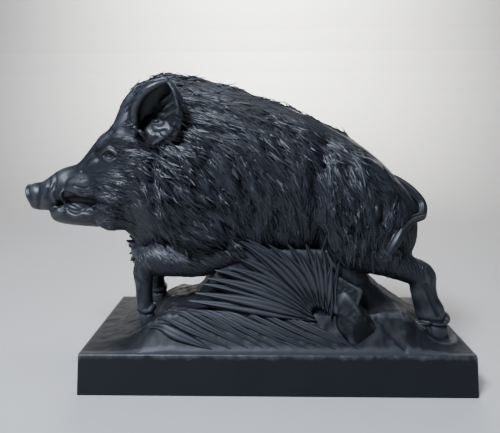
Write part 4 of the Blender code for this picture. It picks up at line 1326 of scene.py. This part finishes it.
    def build(self, skin: bpy.types.Mesh, finish: bpy.types.Material) -> list[bpy.types.Object]:
        """Lays the strands.

        Args:
            skin: the combed skin.
            finish: the strands' material.

        Returns:
            One piece for each flank.
        """
        pieces = []
        for number, flank in enumerate(Flank):
            guide = bpy.data.objects.new("guide", skin)
            bpy.context.scene.collection.objects.link(guide)
            modifier = guide.modifiers.new("strands", "NODES")
            modifier.node_group = self.tree
            values = {
                "Mask": flank.mask,
                "Spacing": self.spacing,
                "Width": self.width,
                "Height": self.height,
                "Ruffle": self.ruffle,
                "Ruffle Scale": self.ruffle_scale,
                "Grip": self.grip,
                "Seed": 20 + number,
                "Finish": finish,
            }
            for item in self.tree.interface.items_tree:
                if item.name in values:
                    modifier[item.identifier] = values[item.name]
            mesh = evaluated(guide)
            bpy.data.objects.remove(guide)
            pieces.append(as_piece(flank.value[0], mesh))
        return pieces


def as_piece(name: str, mesh: bpy.types.Mesh) -> bpy.types.Object:
    """Puts a mesh in the scene under a name."""
    name = name.split(".")[0]
    mesh.name = name
    piece = bpy.data.objects.new(name, mesh)
    bpy.context.scene.collection.objects.link(piece)
    return piece


@dataclass(frozen=True)
class BreastTuft:
    """Locks of hair that hang forward between the fore legs."""

    root: Row = (-29.6, 19.2)
    angles: Row = (158, 235)
    locks: int = 15
    length: float = 6.4
    spread: float = 2.6

    def add(self, bm: bmesh.types.BMesh) -> None:
        """Adds the locks, every other one short."""
        for i in range(self.locks):
            share = i / (self.locks - 1)
            angle = np.radians(self.angles[0] + (self.angles[1] - self.angles[0]) * share)
            sway = self.spread * np.sin(i * 2.2)
            reach = self.length * (1.0 - 0.22 * (i % 2))
            points = []
            for step in np.linspace(0, 1, 5):
                curl = angle + 0.25 * step * np.sin(i * 1.7)
                x = self.root[0] + reach * step * np.cos(curl)
                z = self.root[1] + reach * step * np.sin(curl)
                points.append((x, sway * (1 - 0.35 * step), z))
            Leaf(1.45, 1.4, 0.7, 18).add(bm, points, Vector((0, -1 if sway < 0 else 1, 0)))


@dataclass(frozen=True)
class Mane:
    """Low tufts along the crest from the poll to the loins."""

    tufts: int = 27
    span: Row = (-35.0, 16.0)
    half_width: float = 1.25
    seed: int = 8

    def add(self, bm: bmesh.types.BMesh, boar: Boar) -> None:
        """Adds the tufts along the boar's back."""
        chance = np.random.default_rng(self.seed)
        for i in range(self.tufts):
            x = self.span[0] + (self.span[1] - self.span[0]) * i / (self.tufts - 1)
            sway, lift = chance.uniform(-1.8, 1.8), chance.uniform(-0.35, 0.35)
            drops = ((-2.6, 0.4, 1.8), (0.4, 1.0, 0.25 - lift), (3.4, 0.7, 1.2 - lift))
            points = [
                (x + dx, sway * part, float(boar.back_height(x + dx)) - drop) for dx, part, drop in drops
            ]
            Leaf(self.half_width, 0.8, 0.4, 16).add(bm, points, Vector((0, 0, 1)))


@dataclass(frozen=True)
class Bank:
    """The bank of earth under the boar, steep under the belly and sloping to the plinth's edges."""

    crest: Line = (
        (-41.8, 0.0),
        (-37.0, 0.5),
        (-33.5, 1.3),
        (-30.0, 2.9),
        (-26.4, 5.6),
        (-22.7, 7.0),
        (-18.4, 8.4),
        (-15.4, 12.5),
        (-12.0, 19.0),
        (-6.0, 20.5),
        (15.0, 20.0),
        (19.5, 15.5),
        (23.5, 11.0),
        (27.6, 7.0),
        (31.0, 4.4),
        (35.0, 1.6),
        (38.0, 0.6),
        (41.6, 0.0),
    )
    wall_top: Row = (8.6, 4.6)
    wall_foot: Row = (11.8, 8.2)
    apron: float = 6.6
    fillet: float = 2.0
    lip: float = 0.25
    margin: float = 0.0006
    step: float = 0.0009
    sink: float = 0.009
    roughness: float = 0.34
    crack: Line = ((22.2, 12.3), (24.7, 14.1), (27.4, 16.2))
    crack_depth: float = 0.5
    print_centre: Row = (35.4, 8.2)
    print_radius: float = 5.4

    def height(self, u: np.ndarray | float, v: np.ndarray | float, side: np.ndarray | int) -> np.ndarray:
        """Height of the bank above the plinth's top, in the tables' units.

        Args:
            u: how far along the plinth.
            v: how far out from the middle plane.
            side: -1 on the near side, 1 on the far one.
        """
        far = (np.asarray(side) > 0).astype(int)
        top, foot = np.take(self.wall_top, far), np.take(self.wall_foot, far)
        edge = (HALF_DEPTH - self.margin) / UNIT
        crest_x, crest_z = np.array(self.crest).T
        crest = np.interp(u, crest_x, crest_z)
        wall = crest * (1 - ramp(v, top * np.clip(crest / 17, 0.2, 1), foot))
        share = np.clip((edge - v) / (edge - foot), 0, 1)
        spread = np.minimum(crest, self.apron) / self.apron
        slope = spread * (self.lip + (self.apron - self.lip) * share)
        fillet = self.fillet * spread * share
        return (wall + slope + np.sqrt((wall - slope) ** 2 + fillet**2)) / 2

    def on_top(self, x: float, y: float, lift: float, side: int) -> tuple[float, float, float]:
        """A point of the tables that stands lift above the bank."""
        return x, side * y, float(self.height(x, y, side)) + lift

    def marks(self, u: np.ndarray, v: np.ndarray) -> np.ndarray:
        """The crack and the print of the hind hoof in the near slope, in the tables' units."""
        flat = np.stack((u.ravel(), -v.ravel()), 1)
        crack = distance_to_line(flat, np.array(self.crack)).reshape(u.shape)
        ring = np.hypot(u - self.print_centre[0], -v - self.print_centre[1]) - self.print_radius
        shelf = 0.4 * np.exp(-((ring / 0.8) ** 2)) - 0.25 * (1 - ramp(ring, -2.0, 0.0))
        return shelf - self.crack_depth * np.exp(-((crack / 0.3) ** 2))

    def build(self) -> bpy.types.Mesh:
        """Makes the earth, its foot sunk in the plinth just inside the plinth's edges."""
        half_x, half_y = HALF_LENGTH - self.margin, HALF_DEPTH - self.margin
        xs = np.linspace(-half_x, half_x, int(2 * half_x / self.step))
        ys = np.linspace(-half_y, half_y, int(2 * half_y / self.step))
        gx, gy = np.meshgrid(xs, ys, indexing="ij")
        tall = UNIT * self.height(gx / UNIT, np.abs(gy) / UNIT, np.sign(gy))
        ground = zip(gx.ravel(), gy.ravel(), tall.ravel())
        rough = np.array([noise.fractal(Vector(point) * 190, 0.8, 2.1, 3) for point in ground])
        tall += rough.reshape(gx.shape) * self.roughness * UNIT * np.clip(tall / (3 * UNIT), 0.35, 1)
        tall += UNIT * self.marks(gx / UNIT, gy / UNIT)
        top = PLINTH_HEIGHT + np.maximum(tall, 0.00015)
        foot = PLINTH_HEIGHT - self.sink
        rows = []
        for i, x in enumerate(xs):
            upper = [Vector((x, y, top[i, j])) for j, y in enumerate(ys)]
            rows.append([*upper, Vector((x, ys[-1], foot)), Vector((x, ys[0], foot))])
        bm = bmesh.new()
        add_loft(bm, rows)
        return finished_mesh(bm, "bank")


@dataclass(frozen=True)
class Greenery:
    """Grass, reeds and broad leaves cast over the bank."""

    bank: Bank
    fan_roots: Line = ((9.0, 5.6), (8.0, 7.4), (9.0, 8.6), (11.4, 7.6))
    fan_tips: Line = (
        (-19.4, 9.6),
        (-17.8, 11.4),
        (-16.2, 13.2),
        (-15.0, 14.6),
        (-13.4, 16.2),
        (-10.2, 16.9),
        (-11.0, 20.0),
        (-9.4, 23.6),
        (-6.9, 23.4),
        (-4.2, 21.6),
        (-1.4, 21.9),
        (0.9, 20.6),
        (2.8, 22.0),
        (4.9, 20.7),
        (6.9, 22.0),
        (8.9, 20.9),
        (10.6, 21.2),
        (12.4, 17.4),
    )
    wall_z: Row = (5.0, 7.5, 10.0, 14.0, 20.0, 24.0)
    wall_y: Row = (12.9, 11.7, 10.9, 10.3, 9.7, 9.4)
    blade: Leaf = Leaf(1.75, 1.25)
    reeds: Line = (
        (-27.6, 12.6, -13.6, 16.3, 1.7, 1.0),
        (-26.0, 12.0, -9.6, 16.2, 0.85, 0.8),
        (-24.8, 10.4, -6.0, 16.1, 0.95, 0.9),
        (-22.2, 9.4, -2.8, 16.1, 0.75, 0.8),
        (-19.4, 9.8, 0.4, 16.2, 0.9, 0.9),
        (-16.6, 10.2, 3.6, 16.0, 0.7, 0.7),
        (-13.2, 10.8, 6.8, 16.2, 0.95, 0.9),
        (-9.4, 10.9, 9.4, 16.0, 0.7, 0.7),
        (-5.6, 11.0, 12.6, 16.2, 0.85, 0.8),
        (-1.4, 11.2, 15.4, 16.0, 0.75, 0.7),
        (2.6, 12.0, 17.6, 16.2, 0.8, 0.7),
        (-24.0, 12.6, -12.4, 15.4, 0.4, 0.8),
        (-20.4, 11.2, -7.0, 14.9, 0.4, 0.8),
        (-12.4, 12.0, 0.0, 14.8, 0.4, 0.8),
        (-7.0, 12.6, 5.6, 15.2, 0.4, 0.8),
    )
    broad_leaves: Sequence[tuple[Line, Leaf]] = (
        (((12.2, 12.6, 5.0), (12.4, 11.4, 11.0), (12.6, 10.4, 18.0)), Leaf(0.8, 1.0)),
        (((13.4, 12.4, 6.0), (13.2, 11.2, 12.0), (14.4, 10.2, 19.0)), Leaf(0.7, 0.9)),
    )

    def add_fan(self, bm: bmesh.types.BMesh, side: int) -> None:
        """Adds blades fanned out from one root over the steep side of the bank."""
        foot = self.bank.wall_foot[side > 0]
        tips = self.fan_tips if side < 0 else self.fan_tips[::2]
        roots = smooth_line(self.fan_roots, len(tips))
        for i, (tip, root) in enumerate(zip(tips, roots)):
            span = np.subtract(tip, root)
            bow = -0.07 * np.array((-span[1], span[0])) * np.sin(np.pi * i / len(tips))
            points = []
            for step in np.linspace(0, 1, 6):
                x, z = root + span * step + bow * 4 * step * (1 - step)
                y = np.interp(z, self.wall_z, self.wall_y) + foot - self.bank.wall_foot[0]
                points.append((x, side * (y + 0.1 + 0.5 * (i % 2)), z))
            self.blade.add(bm, points, Vector((0, side, 0.1)))

    def add_reeds(self, bm: bmesh.types.BMesh, side: int) -> None:
        """Adds reeds pressed down the slope by the boar's rush."""
        rows = self.reeds if side < 0 else self.reeds[:11:2]
        for start_x, start_y, end_x, end_y, half_width, keel in rows:
            points = []
            for share in np.linspace(0, 1, 9):
                x, y = start_x + (end_x - start_x) * share, start_y + (end_y - start_y) * share
                points.append(self.bank.on_top(x, y, 0.12, side))
            Leaf(half_width, keel, 0.3, 40).add(bm, points, Vector((0, side * 0.5, 0.85)))

    def build(self) -> bpy.types.Mesh:
        """Makes the plants of both sides."""
        bm = bmesh.new()
        for side in (-1, 1):
            self.add_fan(bm, side)
            self.add_reeds(bm, side)
        for points, leaf in self.broad_leaves:
            leaf.add(bm, [(x, -y, z) for x, y, z in points], Vector((0, -1, 0.3)))
        return finished_mesh(bm, "grass_and_reeds")


@dataclass(frozen=True)
class Boulder:
    """The rock at the end of the fan, broken to a few broad faces with a crest between them.

    Each face is the direction that it looks in and its distance from the rock's centre.
    """

    name: str = "boulder"
    centre: Row = (17.2, -12.2, 6.0)
    faces: Line = (
        (-0.30, -0.88, 0.36, 3.0),
        (0.74, -0.18, 0.65, 2.9),
        (-0.97, -0.10, 0.10, 4.0),
        (-0.40, 0.05, 0.90, 6.6),
        (0.35, -0.85, -0.05, 3.4),
        (0.10, 0.95, 0.20, 3.0),
        (0.85, 0.10, -0.50, 4.6),
        (-0.20, -0.20, -0.95, 6.0),
        (-0.75, -0.60, -0.30, 4.4),
    )
    sharpness: float = 11.0
    roughness: float = 0.10

    def build(self) -> bpy.types.Mesh:
        """Makes the rock."""
        faces = np.array(self.faces)
        looks = faces[:, :3] / np.linalg.norm(faces[:, :3], axis=1)[:, None]
        bm = bmesh.new()
        bmesh.ops.create_icosphere(bm, subdivisions=5, radius=1)
        for vert in bm.verts:
            way = np.array(vert.co)
            nearness = np.maximum(looks @ way, 0) / faces[:, 3]
            reach = 1 / (nearness**self.sharpness).sum() ** (1 / self.sharpness)
            rough = self.roughness * noise.fractal(Vector(way * 2.6), 0.8, 2.1, 4)
            vert.co = place(*(np.array(self.centre) + way * (reach + rough)))
        return finished_mesh(bm, self.name)


SLAB_FACES = (
    (-0.25, -0.90, 0.30, 1.6),
    (0.45, 0.05, 0.89, 2.6),
    (-0.97, -0.10, 0.10, 2.6),
    (0.90, -0.20, -0.30, 3.6),
    (0.10, 0.95, 0.20, 3.0),
    (-0.20, -0.20, -0.95, 5.0),
)
ROCKS = (Boulder(), Boulder("slab", (15.4, -10.6, 11.4), SLAB_FACES))


@dataclass(frozen=True)
class Plinth:
    """The rectangular slab, drafted as it left the mould, with eased and slightly worn edges."""

    easing: float = 0.0012
    wear: float = 0.0004
    step: float = 0.0009

    def build(self) -> bpy.types.Mesh:
        """Makes the slab as sections along its length."""
        arc = np.linspace(0, np.pi / 2, 7)
        end = self.easing * (1 - np.cos(arc))
        middle = np.arange(-HALF_LENGTH + self.easing, HALF_LENGTH - self.easing, self.step)
        places = np.concatenate((-HALF_LENGTH + end, middle[1:], HALF_LENGTH - end[::-1]))
        bm = bmesh.new()
        add_loft(bm, [self.section(float(x)) for x in places])
        return finished_mesh(bm, "plinth")

    def section(self, x: float) -> list[Vector]:
        """One section of the slab across its length, at x."""
        gap = max(0.0, self.easing - (HALF_LENGTH - abs(x)))
        fall = self.easing - np.sqrt(max(self.easing**2 - gap**2, 0))
        top, half = PLINTH_HEIGHT - fall, HALF_DEPTH - fall
        outline = []
        for side in (-1, 1):
            worn = max(0.0, noise.fractal(Vector((x * 170, side * 3.0, 0)), 0.9, 2.0, 3)) if gap == 0 else 0
            radius = self.easing + self.wear * worn
            points = [(half, z) for z in (0, 0.0003, 0.0008, *np.linspace(0.002, top - radius, 9))]
            for turn in np.linspace(0, np.pi / 2, 6)[1:]:
                points.append((half - radius * (1 - np.cos(turn)), top - radius * (1 - np.sin(turn))))
            points += [((half - radius) * (1 - share), top) for share in (0.1, 0.3, 0.6, 0.98)]
            points = [(side * y, z) for y, z in points]
            outline += points if side < 0 else points[::-1]
        placed = []
        for y, z in outline:
            draft = PLINTH_DRAFT * (1 - z / PLINTH_HEIGHT)
            placed.append(Vector((x * (1 + draft / HALF_LENGTH), y * (1 + draft / HALF_DEPTH), z)))
        return placed


def make_group(
    name: str, inputs: Sequence[tuple[str, float]], output: str
) -> tuple[bpy.types.NodeTree, Wiring]:
    """Starts a shader node group with number inputs and one number output.

    Args:
        name: the group's name.
        inputs: each input's name and default.
        output: the output's name.

    Returns:
        The group, and the wiring to fill it with.
    """
    tree = bpy.data.node_groups.new(name, "ShaderNodeTree")
    for label, value in inputs:
        socket = tree.interface.new_socket(label, in_out="INPUT", socket_type="NodeSocketFloat")
        socket.default_value = value
    tree.interface.new_socket(output, in_out="OUTPUT", socket_type="NodeSocketFloat")
    return tree, Wiring(tree)


def object_noise(w: Wiring, scale: object, detail: float, roughness: float = 0.5) -> bpy.types.NodeSocket:
    """A noise fixed to the object, from 0 to 1."""
    where = w.add("ShaderNodeTexCoord").outputs["Object"]
    node = w.add("ShaderNodeTexNoise", Vector=where, Scale=scale, Detail=detail, Roughness=roughness)
    return node.outputs[0]


def make_edge_wear() -> bpy.types.NodeTree:
    """Mask of crests and edges that handling has rubbed, broken up by noise."""
    inputs = (("Start", 0.25), ("Spread", 0.5), ("Patchiness", 0.5), ("Scale", 120))
    tree, w = make_group("edge_wear", inputs, "Mask")
    given = w.add("NodeGroupInput").outputs
    relief = w.add("ShaderNodeAttribute", {"attribute_name": "relief"}).outputs["Fac"]
    crest = w.math("DIVIDE", w.math("SUBTRACT", relief, given["Start"]), given["Spread"])
    patches = w.math("SUBTRACT", object_noise(w, given["Scale"], 4), 0.5)
    mask = w.math("MULTIPLY_ADD", patches, given["Patchiness"], crest)
    clamped = w.math("MINIMUM", w.math("MAXIMUM", mask, 0.0), 1.0)
    w.add("NodeGroupOutput", Mask=clamped)
    return tree


def make_dust_and_sheen() -> bpy.types.NodeTree:
    """Mask of dust in what lies deep, and of painted sheen on what faces up, lighter paint where light from
    above would shine.
    """
    tree, w = make_group("settled_dust_and_sheen", (("Amount", 0.5), ("Depth", 1.0), ("Scale", 60)), "Mask")
    given = w.add("NodeGroupInput").outputs
    normal = w.add("ShaderNodeNewGeometry").outputs["Normal"]
    upward = w.add("ShaderNodeSeparateXYZ", Vector=normal).outputs["Z"]
    relief = w.add("ShaderNodeAttribute", {"attribute_name": "relief"}).outputs["Fac"]
    # What faces up is lightened as painted sheen from the light above, on top of any dust
    facing_up_sheen = w.math("MAXIMUM", w.math("MULTIPLY_ADD", upward, 0.8, -0.2), 0.0)
    hidden = w.math("MAXIMUM", w.math("MULTIPLY", relief, w.math("MULTIPLY", given["Depth"], -0.5)), 0.0)
    cloud = object_noise(w, given["Scale"], 5, 0.65)
    patches = w.math("MAXIMUM", w.math("MULTIPLY_ADD", cloud, 2.4, -0.7), 0.0)
    mask = w.math("MULTIPLY", w.math("MULTIPLY", w.math("ADD", facing_up_sheen, hidden), patches), given["Amount"])
    w.add("NodeGroupOutput", Mask=w.math("MINIMUM", mask, 1.0))
    return tree


def make_cast_grain() -> bpy.types.NodeTree:
    """Height of the sandy skin of a casting under its paint."""
    tree, w = make_group("cast_grain", (("Scale", 1400), ("Waves", 90)), "Height")
    given = w.add("NodeGroupInput").outputs
    grain = object_noise(w, given["Scale"], 3, 0.6)
    waves = object_noise(w, given["Waves"], 2)
    w.add("NodeGroupOutput", Height=w.math("MULTIPLY_ADD", waves, 0.6, grain))
    return tree


@dataclass
class Effects:
    """The shader groups that the finishes share."""

    edge_wear: bpy.types.NodeTree = field(default_factory=make_edge_wear)
    # Dust in hollows, and painted sheen on what faces up
    dust: bpy.types.NodeTree = field(default_factory=make_dust_and_sheen)
    grain: bpy.types.NodeTree = field(default_factory=make_cast_grain)


@dataclass(frozen=True)
class BlackPaint:
    """Thin black paint over cast iron, rubbed on its crests, dusty in its hollows, and painted with a lighter
    sheen where it faces up.
    """

    name: str
    tint: Row = (0.0068, 0.0079, 0.0112)
    rubbed: Row = (0.026, 0.028, 0.032)
    # The lighter colour of dust in hollows and of painted sheen on what faces up
    dust_and_sheen_colour: Row = (0.040, 0.039, 0.037)
    roughness: float = 0.46
    spread: float = 0.14
    wear: Row = (0.30, 0.60, 0.5, 120)
    # Amount, depth and scale of the dust and of the painted sheen on what faces up
    dust: Row = (0.25, 1.0, 60)
    grain: Row = (1400, 90)
    bump: float = 0.12
    bump_reach: float = 0.00012
    metallic: float = 0.0
    specular: float = 0.36

    def build(self, effects: Effects) -> bpy.types.Material:
        """Makes the material.

        Args:
            effects: the groups of wear, of dust with painted sheen, and of grain.
        """
        material = bpy.data.materials.new(self.name)
        material.use_nodes = True
        w = Wiring(material.node_tree)
        shader = material.node_tree.nodes["Principled BSDF"]
        wear = self.effect(w, effects.edge_wear, self.wear)
        dust = self.effect(w, effects.dust, self.dust)
        grain = self.effect(w, effects.grain, self.grain)
        cloud = object_noise(w, 42.0, 4, 0.6)
        deep = self.blend(w, cloud, [c * 0.75 for c in self.tint], [c * 1.3 for c in self.tint])
        painted = self.blend(w, wear, deep, self.rubbed)
        # Dust in hollows and painted sheen on what faces up lighten the colour
        colour = self.blend(w, dust, painted, self.dust_and_sheen_colour)
        gloss = w.math("MULTIPLY_ADD", w.math("SUBTRACT", cloud, 0.5), self.spread, self.roughness)
        worn = w.math("MULTIPLY_ADD", wear, -0.06, gloss)
        dull = w.math("MULTIPLY_ADD", dust, 0.35, worn)
        bump = w.add("ShaderNodeBump", Strength=self.bump, Distance=self.bump_reach, Height=grain)
        w.feed(shader.inputs["Base Color"], colour)
        w.feed(shader.inputs["Roughness"], dull)
        w.feed(shader.inputs["Normal"], bump.outputs[0])
        shader.inputs["Metallic"].default_value = self.metallic
        shader.inputs["Specular IOR Level"].default_value = self.specular
        return material

    def effect(self, w: Wiring, group: bpy.types.NodeTree, values: Row) -> bpy.types.NodeSocket:
        """Places a group with this paint's own values."""
        node = w.add("ShaderNodeGroup", {"node_tree": group})
        for socket, value in zip(node.inputs, values):
            socket.default_value = value
        return node.outputs[0]

    def blend(self, w: Wiring, share: object, low: object, high: object) -> bpy.types.NodeSocket:
        """Mixes two colours."""
        mix = w.add("ShaderNodeMix", {"data_type": "RGBA"})
        colours = [s for s in mix.inputs if s.enabled and s.type == "RGBA"]
        w.feed(next(s for s in mix.inputs if s.enabled and s.name == "Factor"), share)
        for socket, value in zip(colours, (low, high)):
            w.feed(socket, value if isinstance(value, bpy.types.NodeSocket) else (*value, 1))
        return next(s for s in mix.outputs if s.enabled)


BOAR_PAINT = BlackPaint("black_paint_on_boar")
COAT_PAINT = BlackPaint("black_paint_on_hair", roughness=0.47, wear=(0.35, 0.5, 0.6, 90))
# A darker tint than the boar's paint, as painted shade on the grass, reeds and rocks under the belly
SHADE_DARKENED_GRASS_PAINT = BlackPaint(
    "shade_darkened_black_paint_on_grass",
    (0.0030, 0.0036, 0.0054),
    roughness=0.52,
    specular=0.18,
    dust=(0.12, 1.0, 80),
)
# A darker tint than the boar's paint, as painted shade that tones down the bank where the light falls on it
SHADE_DARKENED_BANK_PAINT = BlackPaint(
    "shade_darkened_black_paint_on_bank",
    (0.0042, 0.0049, 0.0068),
    roughness=0.56,
    specular=0.22,
    dust=(0.2, 1.0, 70),
)
PLINTH_PAINT = BlackPaint(
    "black_paint_on_plinth",
    (0.0050, 0.0060, 0.0082),
    (0.075, 0.074, 0.072),
    roughness=0.46,
    specular=0.24,
    wear=(0.22, 0.35, 1.3, 210),
    # Depth 0: the plinth is lightened only where it faces up, as dust and painted sheen
    dust=(0.25, 0.0, 50),
)


@dataclass(frozen=True)
class Softbox:
    """A square light that faces the boar."""

    name: str
    place: Row
    size: float
    power: float
    colour: Row = (1.0, 1.0, 1.0)
    aim: Row = (0.0, 0.0, 0.08)
    spread: float = 180

    def build(self) -> None:
        """Puts the light in the scene."""
        light = bpy.data.lights.new(self.name, "AREA")
        light.size = self.size
        light.energy = self.power
        light.color = self.colour
        light.spread = np.radians(self.spread)
        lamp = bpy.data.objects.new(self.name, light)
        lamp.location = self.place
        lamp.rotation_euler = (Vector(self.aim) - Vector(self.place)).to_track_quat("-Z", "Y").to_euler()
        bpy.context.scene.collection.objects.link(lamp)


@dataclass(frozen=True)
class Studio:
    """Pale floor and backdrop, soft lights and the photograph's camera."""

    eye: Row = (-0.00734, -0.26928, 0.13670)
    turn: Row = (1.28, 86.0, -0.29)
    lens: float = 34.2
    shift: float = -0.1213
    floor_colour: Row = (0.42, 0.405, 0.39)
    half_width: float = 1.6
    front: float = -1.2
    back: float = 0.85
    bend: float = 0.35
    height: float = 1.4
    world_strength: float = 0.07
    lights: Sequence[Softbox] = (
        Softbox("window", (-0.30, -0.46, 0.70), 0.20, 18.0, (0.74, 0.84, 1.0)),
        Softbox("ceiling", (0.10, 0.05, 0.85), 0.30, 1.6),
        Softbox("backdrop", (0.0, 0.25, 0.90), 0.50, 20.0, (1.0, 0.99, 0.97), (0.0, 0.90, 0.45), 80),
        Softbox("rim", (0.50, 0.45, 0.40), 0.25, 0.6),
    )

    def add_camera(self) -> None:
        """Puts the camera where the photograph was taken from."""
        camera = bpy.data.cameras.new("camera")
        camera.lens = self.lens
        camera.sensor_width = 36
        camera.shift_y = self.shift
        camera.clip_start = 0.01
        holder = bpy.data.objects.new("camera", camera)
        heading, pitch, roll = (
            Matrix.Rotation(np.radians(angle), 3, axis) for angle, axis in zip(self.turn, "ZXZ")
        )
        holder.rotation_euler = (heading @ pitch @ roll).to_euler()
        holder.location = self.eye
        bpy.context.scene.collection.objects.link(holder)
        bpy.context.scene.camera = holder

    def add_floor(self) -> None:
        """Lays the floor, which bends up into a backdrop."""
        profile = [(self.front, 0.0), (self.back - self.bend, 0.0)]
        for turn in np.linspace(0, np.pi / 2, 12)[1:]:
            profile.append((self.back - self.bend + self.bend * np.sin(turn), self.bend * (1 - np.cos(turn))))
        profile.append((self.back, self.height))
        bm = bmesh.new()
        rows = [[bm.verts.new((x, y, z)) for x in (-self.half_width, self.half_width)] for y, z in profile]
        for a, b in zip(rows, rows[1:]):
            bm.faces.new((a[0], a[1], b[1], b[0]))
        floor = as_piece("floor", finished_mesh(bm, "floor"))
        material = bpy.data.materials.new("pale_floor")
        material.use_nodes = True
        shader = material.node_tree.nodes["Principled BSDF"]
        shader.inputs["Base Color"].default_value = (*self.floor_colour, 1)
        shader.inputs["Roughness"].default_value = 0.55
        floor.data.materials.append(material)

    def build(self) -> None:
        """Sets up camera, floor, lights and sky."""
        self.add_camera()
        self.add_floor()
        for light in self.lights:
            light.build()
        world = bpy.data.worlds.new("pale_room")
        world.use_nodes = True
        background = world.node_tree.nodes["Background"]
        background.inputs["Color"].default_value = (0.93, 0.95, 1.0, 1)
        background.inputs["Strength"].default_value = self.world_strength
        bpy.context.scene.world = world


def main() -> None:
    """Builds every piece, dresses it and hands it to the frame."""
    Studio().build()
    effects = Effects()
    boar, coat, bank = Boar(), Coat(), Bank()
    greenery = Greenery(bank)
    skin = boar.skin()
    store_relief(skin, SKIN_RELIEF)
    coat.comb(skin)
    log.info("boar skin: %d faces", len(skin.polygons))
    pieces = coat.build(skin, COAT_PAINT.build(effects))
    for mesh, paint in (
        (skin, BOAR_PAINT),
        (Tail().build(), BOAR_PAINT),
        (bank.build(), SHADE_DARKENED_BANK_PAINT),
        (greenery.build(), SHADE_DARKENED_GRASS_PAINT),
        *((rock.build(), SHADE_DARKENED_GRASS_PAINT) for rock in ROCKS),
        (Plinth().build(), PLINTH_PAINT),
    ):
        if mesh is not skin:
            store_relief(mesh, RELIEF)
        piece = as_piece(mesh.name, mesh)
        mesh.materials.append(bpy.data.materials.get(paint.name) or paint.build(effects))
        pieces.append(piece)
    for piece in pieces:
        piece.data.shade_smooth()
        if piece.name in ("plinth", "bank"):
            piece.data.set_sharp_from_angle(angle=np.radians(50))
        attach(piece, "root")
        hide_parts(NODE)
        log.info("%s: %d faces", piece.name, len(piece.data.polygons))


if __name__ == "__main__":
    logging.basicConfig(level=logging.INFO)
    main()
